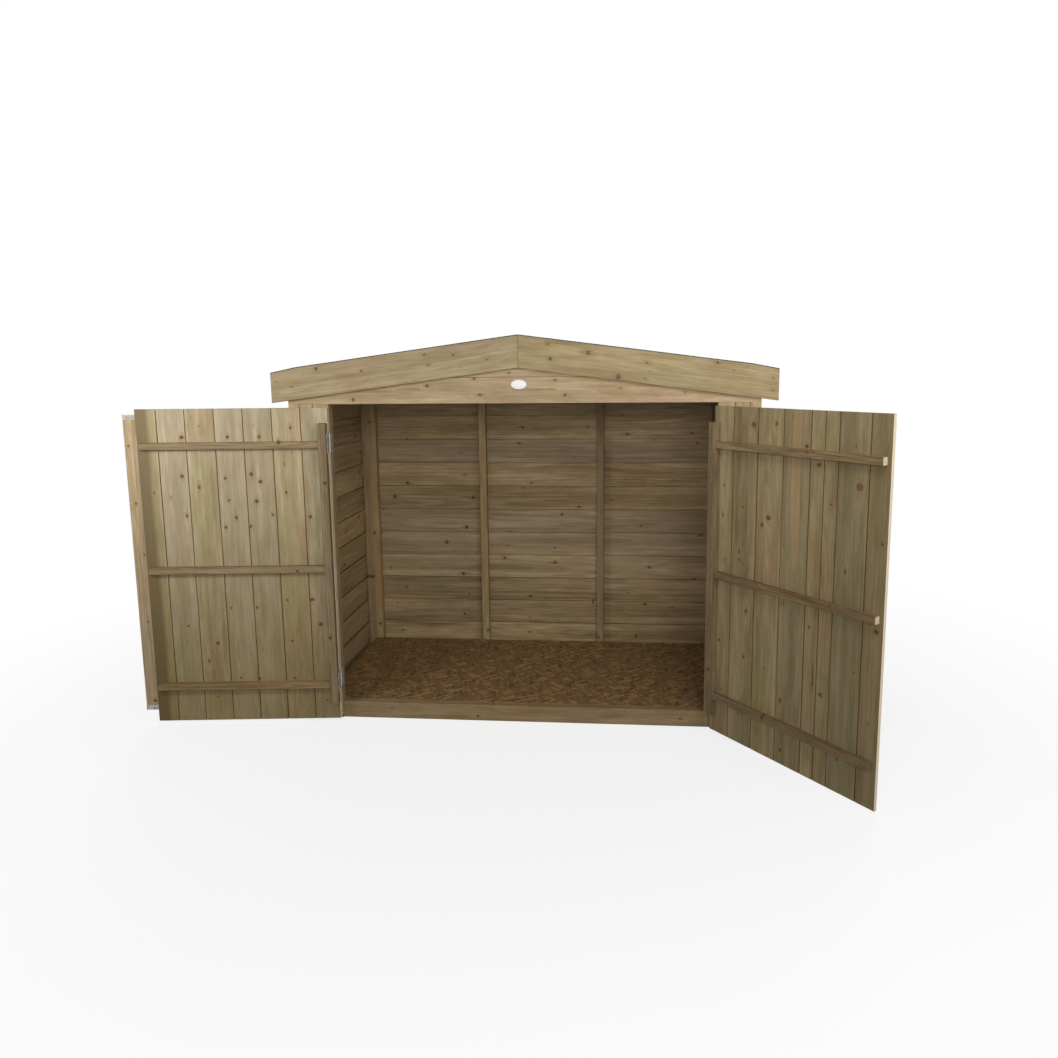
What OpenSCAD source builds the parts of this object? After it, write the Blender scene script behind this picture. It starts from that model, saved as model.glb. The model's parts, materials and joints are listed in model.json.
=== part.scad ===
// Apex timber bike store: overlap-clad walls, felted roof, two ledged doors on butt hinges.
// Millimetres. X runs along the front, Y runs from the front to the back, Z is up.
// The origin is on the ground, under the middle of the floor.

/* [Roof] */
// Width of the roof over the ends of the barge boards
roof_w = 1980; // [1800:10:2200]
// Height of the felt at the ridge
ridge_z = 1585; // [1540:1:1700]
// Fall of the roof from the ridge to each eave
roof_fall = 131; // [100:1:150]
// Height of a barge board, plumb
barge_h = 125; // [110:1:135]
// Thickness of a barge board
barge_t = 18; // [12:1:25]
// Thickness of the roof deck
deck_t = 12; // [11:1:18]
// Thickness of the mineral felt
felt_t = 3; // [2:0.5:4]
// How far the roof passes the back cladding
rear_overhang = 18; // [10:1:60]

/* [Walls] */
// Width of the front over the corner strips
front_w = 1860; // [1800:10:1900]
// Depth from the face of the front boards to the outside of the back frame
wall_d = 872; // [750:1:1000]
// Thickness of the front, gable and door boards
board_t = 12; // [10:1:16]
// Depth of the framing timber
frame_d = 38; // [28:1:50]
// Width of a wall stud
stud_w = 35; // [28:1:45]
// Height shown by each overlap board
lap_pitch = 119; // [90:1:150]
// Thickness of an overlap board
lap_t = 8; // [6:1:10]
// Hidden height of an overlap board, behind the one above
lap_over = 16; // [10:1:20]
// Height of the lowest edge of the cladding
lap_start = 17; // [12:1:40]
// Width of a front corner strip
corner_w = 42; // [30:1:50]
// Distance of the inner studs of the back wall from the middle
stud_x = 295; // [250:1:350]

/* [Doorway] */
// Width of the doorway between the posts
opening_w = 1536; // [1400:1:1560]
// Height of the doorway, to the lower edge of the gable boards
opening_z = 1320; // [1250:1:1350]
// Height of the sill rail, and of the floor
sill_h = 68; // [60:1:80]
// Space between the closed doors and the sill rail
sill_gap = 5; // [5:1:10]
// Thickness of the floor sheet
floor_t = 15; // [11:1:18]

/* [Doors] */
// How far the left door stands open
left_open = 174; // [0:0.5:180]
// How far the right door stands open
right_open = 128.5; // [0:0.5:180]
// Space between a door and its post
hinge_gap = 5; // [5:1:8]
// Space between the two closed doors
meeting_gap = 14; // [12:1:20]
// Space above the doors
head_gap = 12; // [6:1:14]
// Space between the doors and the ground
ground_gap = 12; // [8:1:20]
// Height of a ledge
ledge_h = 28; // [25:1:40]
// Thickness of a ledge
ledge_t = 24; // [18:1:30]
// Heights of the middles of the three ledges
ledge_z = [166, 657, 1162];
// How far a ledge stops short of the free edge
ledge_short = 16; // [12:1:40]
// Width of a hinge stile
stile_w = 32; // [28:1:60]
// Thickness of a hinge stile
stile_t = 32; // [28:1:36]
// Heights of the lower and upper ends of a hinge stile
stile_z = [87, 1247];

/* [Cover strip] */
// How far the strip passes the free edge of the left door
strip_over = 57; // [40:1:60]
// Width of strip that is fixed to the left door
strip_fixed = 14; // [10:1:30]
// Thickness of the strip
strip_t = 18; // [16:1:22]
// Depth of the rebate that clears the face of the right door
strip_rebate = 7; // [6.5:0.5:8]
// Heights of the lower and upper ends of the strip
strip_z = [56, 1286];

/* [Hinges] */
// Height of a hinge leaf
leaf_h = 75; // [50:5:100]
// Width of a hinge leaf
leaf_w = 30; // [25:1:40]
// Thickness of a hinge leaf
leaf_t = 2; // [1.5:0.5:2]
// Outer radius of a knuckle
knuckle_r = 4; // [3.5:0.5:4.5]
// Radius of the hinge pin
pin_r = 2.2; // [1.5:0.1:2.5]
// Heights of the middles of the hinges
hinge_z = [180, 1165];

/* [Hidden] */

$fn = 48;
frame_x = front_w / 2 - 18;
inner_x = frame_x - frame_d;
post_x = opening_w / 2;
clad_y = wall_d + 2 * lap_t;
roof_y = clad_y + rear_overhang;
roof_x = roof_w / 2;
slope = roof_fall / roof_x;
eased = 100;
eased_fall = 7;
eaves_x = roof_x - felt_t;
eaves_t = 18;
eaves_h = 60;
lip_h = 28;
door_w = post_x - hinge_gap - meeting_gap / 2;
door_h = opening_z - head_gap - ground_gap;
pin_x = post_x - hinge_gap / 2;
pin_y = -(knuckle_r + 1);
knuckles = 5;
play = 0.4;
badge_size = [60, 36, 3];
badge_z = 1393;
cap_h = 19;
cap_t = 1.5;
far = 3000;

// Height of the roof line at a distance x from the ridge, less a depth measured plumb
function roof_line(x, depth = 0) = ridge_z - slope * abs(x) - depth;

// Everything is drawn with y measured from the face of the front boards
module from_front() {
    translate([0, -clad_y / 2, 0]) children();
}

module both_sides() {
    children();
    mirror([1, 0, 0]) children();
}

module box(low, high) {
    translate(low) cube(high - low);
}

// A shape drawn in x and z, standing between two distances from the front
module upright(y0, y1) {
    translate([0, y1, 0]) rotate([90, 0, 0]) linear_extrude(y1 - y0) children();
}

// Section of all that lies under the roof deck
module under_roof() {
    d = felt_t + deck_t;
    polygon([[-roof_x, 0], [roof_x, 0], [roof_x, roof_line(roof_x, d)],
        [0, roof_line(0, d)], [-roof_x, roof_line(roof_x, d)]]);
}

module below_deck() {
    intersection() {
        children();
        upright(-far, far) under_roof();
    }
}

// One slope of the roof between two plumb depths, its top eased down at the eave
module roof_band(x1, top, bottom_ridge, bottom_eave) {
    x0 = roof_x - eased;
    drop = eased_fall * (x1 - x0) / eased;
    polygon([[0, roof_line(0, top)], [x0, roof_line(x0, top)], [x1, roof_line(x1, top) - drop],
        [x1, roof_line(x1, bottom_eave)], [0, roof_line(0, bottom_ridge)]]);
}

// Overlap boards, drawn with the outside towards +x and the frame at x = 0
module lap_section(top) {
    for (z = [lap_start : lap_pitch : top])
        polygon([[0, z + lap_pitch + lap_over], [lap_t, z], [2 * lap_t, z],
            [lap_t, z + lap_pitch + lap_over]]);
}

module floor_sheet() {
    color("peru") from_front()
        box([-inner_x + 2, frame_d + board_t + sill_gap + 1, sill_h - floor_t],
            [inner_x - 2, wall_d - frame_d - 2, sill_h]);
}

module floor_bearers() {
    color("burlywood") from_front()
        for (y = [110, clad_y / 2, wall_d - 100])
            box([-inner_x + 2, y - frame_d / 2, 0], [inner_x - 2, y + frame_d / 2, sill_h - floor_t]);
}

module front_sill() {
    y0 = board_t + sill_gap;
    color("burlywood") from_front()
        box([-post_x, y0, 0], [post_x, y0 + frame_d, sill_h]);
}

module front_boards() {
    box([post_x, 0, ground_gap], [front_w / 2 - corner_w, board_t, opening_z]);
}

module left_front_boards() {
    color("tan") from_front() mirror([1, 0, 0]) front_boards();
}

module right_front_boards() {
    color("tan") from_front() front_boards();
}

module front_corner_strips() {
    color("tan") from_front() both_sides()
        box([front_w / 2 - corner_w, 0, ground_gap], [front_w / 2, board_t, opening_z]);
}

module door_posts() {
    color("burlywood") from_front() both_sides()
        box([post_x, board_t, 0], [post_x + frame_d, board_t + frame_d, opening_z]);
}

// Top rail over the posts and a short rail at the foot of each side
module front_frame_rails() {
    y = [board_t, board_t + frame_d];
    color("burlywood") from_front() {
        box([-inner_x, y[0], opening_z], [inner_x, y[1], opening_z + frame_d]);
        both_sides() box([post_x + frame_d, y[0], 0], [inner_x, y[1], sill_h]);
    }
}

module front_gable() {
    color("tan") from_front() upright(0, board_t) intersection() {
        under_roof();
        translate([-front_w / 2, opening_z]) square([front_w, far]);
    }
}

module gable_badge() {
    color("white") from_front() translate([0, 0, badge_z]) upright(-badge_size.z, 0)
        polygon([for (a = [0 : 7.5 : 352.5]) [badge_size.x / 2 * cos(a), badge_size.y / 2 * sin(a)]]);
}

module side_cladding() {
    below_deck() upright(board_t, wall_d) translate([frame_x, 0]) lap_section(ridge_z);
}

// The studs at the front and back end of a side wall
module side_studs() {
    below_deck()
        for (y = [board_t, wall_d - frame_d])
            box([inner_x, y, 0], [frame_x, y + frame_d, far]);
}

module side_rails() {
    top = roof_line(frame_x, felt_t + deck_t) - frame_d;
    below_deck()
        for (z = [[0, frame_d], [top, far]])
            box([inner_x, board_t + frame_d, z[0]], [frame_x, wall_d - frame_d, z[1]]);
}

module left_wall_cladding() {
    color("darkkhaki") from_front() mirror([1, 0, 0]) side_cladding();
}

module left_wall_studs() {
    color("burlywood") from_front() mirror([1, 0, 0]) side_studs();
}

module left_wall_rails() {
    color("burlywood") from_front() mirror([1, 0, 0]) side_rails();
}

module right_wall_cladding() {
    color("darkkhaki") from_front() side_cladding();
}

module right_wall_studs() {
    color("burlywood") from_front() side_studs();
}

module right_wall_rails() {
    color("burlywood") from_front() side_rails();
}

module back_wall_cladding() {
    color("darkkhaki") from_front() below_deck()
        translate([-frame_x, wall_d, 0]) rotate([90, 0, 90]) linear_extrude(2 * frame_x)
            lap_section(ridge_z);
}

module back_wall_studs() {
    y = [wall_d - frame_d, wall_d];
    color("burlywood") from_front() below_deck()
        both_sides()
            for (x = [[stud_x - stud_w / 2, stud_x + stud_w / 2], [inner_x - stud_w, inner_x]])
                box([x[0], y[0], 0], [x[1], y[1], far]);
}

// Rails between the studs: one row at the foot and one under the eaves
module back_wall_rails() {
    y = [wall_d - frame_d, wall_d];
    inner = stud_x - stud_w / 2;
    top = roof_line(frame_x, felt_t + deck_t) - frame_d;
    color("burlywood") from_front()
        for (z = [0, top]) {
            box([-inner, y[0], z], [inner, y[1], z + frame_d]);
            both_sides()
                box([stud_x + stud_w / 2, y[0], z], [inner_x - stud_w, y[1], z + frame_d]);
        }
}

module back_corner_strips() {
    color("tan") from_front() below_deck() both_sides()
        box([frame_x, wall_d, ground_gap], [front_w / 2, clad_y + 2, far]);
}

module roof_deck() {
    upright(0, roof_y) roof_band(eaves_x, felt_t, felt_t + deck_t, felt_t + deck_t);
}

module left_roof_deck() {
    color("wheat") from_front() mirror([1, 0, 0]) roof_deck();
}

module right_roof_deck() {
    color("wheat") from_front() roof_deck();
}

// Felt over the deck and the barge boards, with a lip turned down over the eaves board
module roof_felt() {
    fall_end = eased_fall * (eaves_x - roof_x + eased) / eased;
    x0 = roof_x - eased;
    upright(-barge_t, roof_y + barge_t) polygon([[0, ridge_z], [x0, roof_line(x0)],
        [roof_x, roof_line(roof_x) - eased_fall],
        [eaves_x, roof_line(eaves_x, felt_t) - fall_end], [x0, roof_line(x0, felt_t)],
        [0, ridge_z - felt_t]]);
    upright(0, roof_y) polygon([[roof_x, roof_line(roof_x) - eased_fall],
        [roof_x, roof_line(roof_x) - lip_h], [eaves_x, roof_line(roof_x) - lip_h],
        [eaves_x, roof_line(eaves_x, felt_t) - fall_end]]);
}

module left_roof_felt() {
    color("dimgray") from_front() mirror([1, 0, 0]) roof_felt();
}

module right_roof_felt() {
    color("dimgray") from_front() roof_felt();
}

module ridge_beam() {
    w = frame_d / 2;
    color("burlywood") from_front() below_deck()
        box([-w, board_t, ridge_z - 80], [w, wall_d, far]);
}

module eaves_board() {
    d = felt_t + deck_t;
    x0 = eaves_x - eaves_t;
    upright(0, roof_y) polygon([[x0, roof_line(x0, d)], [eaves_x, roof_line(eaves_x, d)],
        [eaves_x, roof_line(x0, d) - eaves_h], [x0, roof_line(x0, d) - eaves_h]]);
}

module left_eaves_board() {
    color("burlywood") from_front() mirror([1, 0, 0]) eaves_board();
}

module right_eaves_board() {
    color("burlywood") from_front() eaves_board();
}

module barge_board(y0) {
    upright(y0, y0 + barge_t) roof_band(roof_x, felt_t, felt_t + barge_h, felt_t + barge_h);
}

module front_left_barge_board() {
    color("tan") from_front() mirror([1, 0, 0]) barge_board(-barge_t);
}

module front_right_barge_board() {
    color("tan") from_front() barge_board(-barge_t);
}

module back_left_barge_board() {
    color("tan") from_front() mirror([1, 0, 0]) barge_board(roof_y);
}

module back_right_barge_board() {
    color("tan") from_front() barge_board(roof_y);
}

// Knuckles of one leaf: the first is number start, and every second one after it
module knuckle_row(start, bored) {
    step = leaf_h / knuckles;
    for (i = [start : 2 : knuckles - 1])
        translate([pin_x, pin_y, i * step - leaf_h / 2 + play / 2]) difference() {
            cylinder(r = knuckle_r, h = step - play);
            if (bored) translate([0, 0, -1]) cylinder(r = pin_r + play, h = step + 2);
        }
}

// The leaf that is screwed to the post, with its knuckles and the pin
module fixed_leaf() {
    box([post_x - leaf_t, pin_y, -leaf_h / 2], [post_x, leaf_w, leaf_h / 2]);
    knuckle_row(0, false);
    translate([pin_x, pin_y, -leaf_h / 2]) cylinder(r = pin_r, h = leaf_h);
}

module post_hinge_leaves() {
    step = leaf_h / knuckles;
    color("silver") from_front() both_sides()
        for (z = hinge_z) translate([0, 0, z]) difference() {
            fixed_leaf();
            for (i = [1 : 2 : knuckles - 1])
                translate([pin_x, pin_y, i * step - leaf_h / 2]) difference() {
                    cylinder(r = knuckle_r + play, h = step);
                    cylinder(r = pin_r, h = step);
                }
        }
}

// The leaf that is screwed to the edge of the right door, closed
module moving_leaf() {
    step = leaf_h / knuckles;
    edge_x = post_x - hinge_gap;
    difference() {
        box([edge_x, pin_y, -leaf_h / 2], [edge_x + leaf_t, leaf_w, leaf_h / 2]);
        for (i = [0 : 2 : knuckles - 1])
            translate([pin_x, pin_y, i * step - leaf_h / 2 - play / 2])
                cylinder(r = knuckle_r + play, h = step + play);
        translate([pin_x, pin_y, -leaf_h]) cylinder(r = pin_r + play, h = 2 * leaf_h);
    }
    knuckle_row(1, true);
}

// Turns what is drawn as the closed right door about its hinge pins
module swung(angle) {
    translate([pin_x, pin_y, 0]) rotate([0, 0, angle]) translate([-pin_x, -pin_y, 0]) children();
}

module as_right_door() {
    from_front() swung(right_open) children();
}

module as_left_door() {
    from_front() mirror([1, 0, 0]) swung(left_open) children();
}

module door_boards() {
    box([meeting_gap / 2, 0, ground_gap], [meeting_gap / 2 + door_w, board_t, ground_gap + door_h]);
}

module door_ledges() {
    for (z = ledge_z)
        box([meeting_gap / 2 + ledge_short, board_t, z - ledge_h / 2],
            [meeting_gap / 2 + door_w - stile_w, board_t + ledge_t, z + ledge_h / 2]);
}

module door_stile() {
    x1 = meeting_gap / 2 + door_w;
    box([x1 - stile_w, board_t, stile_z[0]], [x1, board_t + stile_t, stile_z[1]]);
}

module door_hinge_leaves() {
    for (z = hinge_z) translate([0, 0, z]) moving_leaf();
}

module left_door_boards() {
    color("tan") as_left_door() door_boards();
}

module left_door_ledges() {
    color("burlywood") as_left_door() door_ledges();
}

module left_door_stile() {
    color("burlywood") as_left_door() door_stile();
}

module left_door_hinge_leaves() {
    color("silver") as_left_door() door_hinge_leaves();
}

// Strip on the outer face, rebated where it passes over the right door
module cover_strip() {
    edge = meeting_gap / 2;
    color("tan") as_left_door() translate([0, 0, strip_z[0]])
        linear_extrude(strip_z[1] - strip_z[0])
            polygon([[edge + strip_fixed, 0], [edge, 0], [edge, -strip_rebate],
                [edge - strip_over, -strip_rebate], [edge - strip_over, -strip_t],
                [edge + strip_fixed, -strip_t]]);
}

// Plate folded over the end of the strip, drawn over an upper end at z = 0
module strip_cap() {
    outer = [-strip_t - cap_t, cap_t - strip_rebate];
    translate([meeting_gap / 2 - strip_over, 0, 0]) rotate([90, 0, 90])
        linear_extrude(strip_over - cap_t)
            polygon([[outer[0], -cap_h], [outer[0], cap_t], [outer[1], cap_t], [outer[1], -cap_h],
                [-strip_rebate, -cap_h], [-strip_rebate, 0], [-strip_t, 0], [-strip_t, -cap_h]]);
}

module cover_strip_caps() {
    color("silver") as_left_door() {
        translate([0, 0, strip_z[1]]) strip_cap();
        translate([0, 0, strip_z[0]]) mirror([0, 0, 1]) strip_cap();
    }
}

module right_door_boards() {
    color("tan") as_right_door() door_boards();
}

module right_door_ledges() {
    color("burlywood") as_right_door() door_ledges();
}

module right_door_stile() {
    color("burlywood") as_right_door() door_stile();
}

module right_door_hinge_leaves() {
    color("silver") as_right_door() door_hinge_leaves();
}

floor_sheet();
floor_bearers();
front_sill();
left_front_boards();
right_front_boards();
front_corner_strips();
door_posts();
front_frame_rails();
front_gable();
gable_badge();
left_wall_cladding();
left_wall_studs();
left_wall_rails();
right_wall_cladding();
right_wall_studs();
right_wall_rails();
back_wall_cladding();
back_wall_studs();
back_wall_rails();
back_corner_strips();
left_roof_deck();
right_roof_deck();
left_roof_felt();
right_roof_felt();
ridge_beam();
left_eaves_board();
right_eaves_board();
front_left_barge_board();
front_right_barge_board();
back_left_barge_board();
back_right_barge_board();
post_hinge_leaves();
left_door_boards();
left_door_ledges();
left_door_stile();
left_door_hinge_leaves();
cover_strip();
cover_strip_caps();
right_door_boards();
right_door_ledges();
right_door_stile();
right_door_hinge_leaves();
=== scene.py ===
# %% [markdown]
# # A timber bike store, board by board
# The store was drawn in CAD first, with every wall, post and hinge at its real size. This lesson
# dresses that drawing in Blender: single boards with eased edges and real joints, nails, felt and the
# finishes of treated softwood. We load the drawing as a fixed frame, so that each new piece can be
# made in metres at the place that the frame gives.

# %% Load the frame
import json
import math
import random

import bmesh
import bpy
from mathutils import Matrix, Vector


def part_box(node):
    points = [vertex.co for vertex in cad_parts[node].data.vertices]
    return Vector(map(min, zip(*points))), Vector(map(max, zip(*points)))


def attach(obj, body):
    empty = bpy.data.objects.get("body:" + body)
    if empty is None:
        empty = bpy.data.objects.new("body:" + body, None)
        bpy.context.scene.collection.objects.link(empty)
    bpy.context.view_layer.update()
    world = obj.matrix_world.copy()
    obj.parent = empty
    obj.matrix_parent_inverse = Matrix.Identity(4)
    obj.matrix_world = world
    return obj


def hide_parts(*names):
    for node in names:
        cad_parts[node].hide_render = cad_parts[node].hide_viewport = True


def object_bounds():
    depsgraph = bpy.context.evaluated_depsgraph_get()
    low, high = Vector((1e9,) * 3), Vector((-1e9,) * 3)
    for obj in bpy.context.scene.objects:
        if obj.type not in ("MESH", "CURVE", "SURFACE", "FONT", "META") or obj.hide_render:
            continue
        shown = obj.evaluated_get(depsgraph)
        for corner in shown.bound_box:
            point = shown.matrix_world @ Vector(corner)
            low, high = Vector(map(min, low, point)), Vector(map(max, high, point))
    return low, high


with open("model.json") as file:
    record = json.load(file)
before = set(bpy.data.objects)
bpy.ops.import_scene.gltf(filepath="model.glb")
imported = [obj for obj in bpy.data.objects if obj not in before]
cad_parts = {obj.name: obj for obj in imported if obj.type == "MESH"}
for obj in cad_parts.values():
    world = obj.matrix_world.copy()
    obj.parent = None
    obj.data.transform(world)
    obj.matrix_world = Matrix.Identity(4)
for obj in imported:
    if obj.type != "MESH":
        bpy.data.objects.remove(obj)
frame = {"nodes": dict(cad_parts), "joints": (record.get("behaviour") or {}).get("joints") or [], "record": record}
cad_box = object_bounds()
MM = 0.001
print("CAD box in metres:", [round(v, 3) for corner in cad_box for v in corner])

# %% [markdown]
# Most measures can be read from the frame, so a change in the drawing carries through to here. A few
# belong to the way the store is joined, such as where one board ends and the next begins. They are
# written once, as named values, before the piece that needs them.

# %% Read the main measures
record = frame["record"]
BODY_OF = {node: body for body, nodes in record["behaviour"]["bodies"].items() for node in nodes}
SLOT_OF = {row["node"]: row["material_slot"] for row in record["subparts"]}
JOINT_OF = {joint["child"]: joint for joint in frame["joints"]}

FACE_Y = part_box("left_front_boards")[0].y
BOARD_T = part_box("left_front_boards")[1].y - FACE_Y
POST_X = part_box("front_sill")[1].x
SILL_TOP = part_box("front_sill")[1].z
HEAD_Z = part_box("front_gable")[0].z
FRAME_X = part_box("back_wall_cladding")[1].x
BEARER_ROOM = 2 * MM
INNER_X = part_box("floor_bearers")[1].x + BEARER_ROOM
FRAME_D = FRAME_X - INNER_X
FRONT_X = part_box("front_corner_strips")[1].x
BACK_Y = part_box("back_wall_studs")[1].y
RIDGE_Z = cad_box[1].z
ROOF_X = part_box("front_right_barge_board")[1].x
ROOF_BACK_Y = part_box("back_left_barge_board")[0].y
print("doorway %.0f by %.0f mm" % (2 * POST_X / MM, HEAD_Z / MM))

# %% [markdown]
# ## The camera
# The photograph looks from about the height of the eaves, right of the middle, slightly down and
# with a touch of tilt. The place and the angles were found by fitting the roof, doorway and doors.
# The small shift stands for a photograph whose middle isn't quite on the lens axis.

# %% Set up the camera
CAMERA_PLACE = Vector((0.400, -3.570, 1.450))
LOOK_LEFT, LOOK_DOWN, TILT = math.radians(4.931), math.radians(8.308), math.radians(0.504)
FOCAL_PX, PHOTO_PX = 803.2, 1058
MIDDLE_PX = (553.0, 486.6)
SENSOR_WIDTH, FAR_END = 36, 100


def make_camera():
    """A camera with the photograph's place, direction and focal length."""
    ahead = Vector((-math.sin(LOOK_LEFT) * math.cos(LOOK_DOWN),
                    math.cos(LOOK_LEFT) * math.cos(LOOK_DOWN), -math.sin(LOOK_DOWN)))
    right = Vector((math.cos(LOOK_LEFT), math.sin(LOOK_LEFT), 0))
    up = right.cross(ahead)
    right, up = (right * math.cos(TILT) - up * math.sin(TILT), up * math.cos(TILT) + right * math.sin(TILT))
    data = bpy.data.cameras.new("photo_camera")
    camera = bpy.data.objects.new("photo_camera", data)
    bpy.context.scene.collection.objects.link(camera)
    axes = Matrix((right, up, -ahead)).transposed().to_4x4()
    camera.matrix_world = Matrix.Translation(CAMERA_PLACE) @ axes
    data.sensor_width = SENSOR_WIDTH
    data.lens = FOCAL_PX / PHOTO_PX * SENSOR_WIDTH
    data.shift_x = (PHOTO_PX / 2 - MIDDLE_PX[0]) / PHOTO_PX
    data.shift_y = (MIDDLE_PX[1] - PHOTO_PX / 2) / PHOTO_PX
    data.clip_end = FAR_END
    bpy.context.scene.camera = camera
    return camera


print("lens %.1f mm" % make_camera().data.lens)

# %% [markdown]
# ## Recipes for finishes
# A finish begins with its colours. A colour is written as it would be read off a paint card, in steps
# from 0 to 255, and turned into the linear values that Blender works with.


# %% Read a paint card
def paint(red, green, blue):
    """A colour written in steps from 0 to 255, as the linear colour of a socket."""
    def linear(step):
        share = step / 255
        return share / 12.92 if share <= 0.04045 else ((share + 0.055) / 1.055) ** 2.4
    return linear(red), linear(green), linear(blue), 1.0


print("half grey is %.3f in linear values" % paint(128, 128, 128)[0])

# %% [markdown]
# The rest of a finish is a small network of nodes. Writing each node by hand in Python is long, so one
# object keeps the nodes and offers short verbs: put a node, calculate, add noise, ramp, blend.


# %% Short verbs for nodes
class Nodes:
    """The nodes of a material or of the world, with short ways to add and join them."""

    def __init__(self, owner):
        owner.use_nodes = True
        self.nodes = owner.node_tree.nodes
        self.links = owner.node_tree.links

    def feed(self, socket, value):
        """Joins a socket to another node's output, or sets it to a plain value."""
        if isinstance(value, bpy.types.NodeSocket):
            self.links.new(value, socket)
        else:
            socket.default_value = value

    def put(self, kind, *values, out=0, **settings):
        """Adds a node, fills its inputs in order and gives back one of its outputs."""
        node = self.nodes.new("ShaderNode" + kind)
        for setting, value in settings.items():
            setattr(node, setting, value)
        for socket, value in zip([s for s in node.inputs if s.enabled], values):
            self.feed(socket, value)
        return [s for s in node.outputs if s.enabled][out]

    def calc(self, operation, *values):
        return self.put("Math", *values, operation=operation)

    def plus(self, first, second):
        return self.calc("ADD", first, second)

    def less(self, first, second):
        return self.calc("SUBTRACT", first, second)

    def times(self, product, *values):
        """Multiplies any number of values."""
        for value in values:
            product = self.calc("MULTIPLY", product, value)
        return product

    def scaled(self, value, factor, extra):
        return self.calc("MULTIPLY_ADD", value, factor, extra)

    def apart(self, first, second):
        return self.calc("ABSOLUTE", self.less(first, second))

    def length(self, vector):
        return self.put("VectorMath", vector, operation="LENGTH")

    def ramp(self, value, start, end, low=0.0, high=1.0):
        """Goes smoothly from low to high while the value goes from start to end."""
        return self.put("MapRange", value, start, end, low, high, interpolation_type="SMOOTHSTEP")

    def stretch(self, place, x, y, z):
        return self.put("VectorMath", place, (x, y, z), operation="MULTIPLY")

    def noise(self, place, scale=1.0, detail=2.0, rough=0.5):
        return self.put("TexNoise", place, scale, detail, rough)

    def wander(self, distance, scale, reach):
        """A slow drift to either side of zero, along one distance."""
        drift = self.put("TexNoise", distance, scale, 1.0, 0.5, noise_dimensions="1D")
        return self.times(self.less(drift, 0.5), 2 * reach)

    def blend(self, share, first, second, how="MIX"):
        return self.put("Mix", share, first, second, data_type="RGBA", blend_type=how)

    def show(self, kind, shader):
        """Gives a shader to the output of the world or of the material."""
        self.feed(self.nodes.new("ShaderNodeOutput" + kind).inputs["Surface"], shader)


print("nodes can be put, joined, ramped and blended")

# %% [markdown]
# A recipe is such an object round a new material. It keeps the shader too, into which the colour, the
# roughness and the bumps are fed. What is the same all over is set on the shader's own socket.


# %% A recipe
class Recipe(Nodes):
    """One finish: a material and its shader."""

    def __init__(self, name, roughness, metallic=0.0, specular=0.5):
        self.finish = bpy.data.materials.new(name)
        super().__init__(self.finish)
        self.shader = self.nodes["Principled BSDF"]
        self.feed(self.shader.inputs["Roughness"], roughness)
        self.feed(self.shader.inputs["Metallic"], metallic)
        self.feed(self.shader.inputs["Specular IOR Level"], specular)

    def bump(self, height, strength, depth):
        """Raises the surface by a height, at most depth metres."""
        node = self.nodes.new("ShaderNodeBump")
        self.feed(node.inputs["Strength"], strength)
        self.feed(node.inputs["Distance"], depth)
        self.feed(node.inputs["Height"], height)
        self.feed(self.shader.inputs["Normal"], node.outputs["Normal"])

    def finish_with(self, colour, roughness=None):
        self.feed(self.shader.inputs["Base Color"], colour)
        if roughness is not None:
            self.feed(self.shader.inputs["Roughness"], roughness)
        return self.finish


print("a recipe puts nodes together")

# %% [markdown]
# ## How a board gets its figure
# A board is a slice of a trunk. Its figure is the cut through the growth rings, which are tubes round
# the pith, and the arches on its face appear where the pith drifts nearer to the face and away again.
# So each board carries its own coordinates, the attribute "grain": along the length, across the face
# and through the thickness, measured from the pith. The rings are then the distance from zero.
# Two more attributes go with it. "knot" holds the middle and the radius of the nearest knot, and
# "tone" says how light and how warm the board is, and how wide its darker heartwood is. That way one
# finish gives every board a face of its own, and the knots lie where the real boards have theirs.


# %% Read what a board carries
def read_board(wood):
    """Splits the board's three attributes into single values."""
    wood.place = wood.put("Attribute", attribute_name="grain", out=1)
    wood.along, wood.across, wood.through = wood.put("SeparateXYZ", wood.place).node.outputs
    wood.knot = wood.put("Attribute", attribute_name="knot", out=1)
    wood.knot_along, wood.knot_across, wood.knot_size = wood.put("SeparateXYZ", wood.knot).node.outputs
    wood.luck = wood.put("TexWhiteNoise", wood.knot)
    tone = wood.put("Attribute", attribute_name="tone", out=1)
    wood.light, wood.warmth, wood.heart = wood.put("SeparateXYZ", tone).node.outputs


print("a board carries its grain, its knot and its tone")

# %% [markdown]
# A knot is the foot of a branch, cut across. The distance from its middle, counted in its own radii
# and made ragged by noise, says where its core ends, where its dark rim lies, and how far the grain
# flows round it. A size below zero stands for a crack or a streak of resin: it is the same shape,
# drawn out along the board until it is a line.

# %% Shape a knot
KNOT_ALONG, CRACK_ALONG = 0.9, 0.045
LEAST_SIZE, LEAST_KNOT = 0.2 * MM, 0.5 * MM


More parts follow.
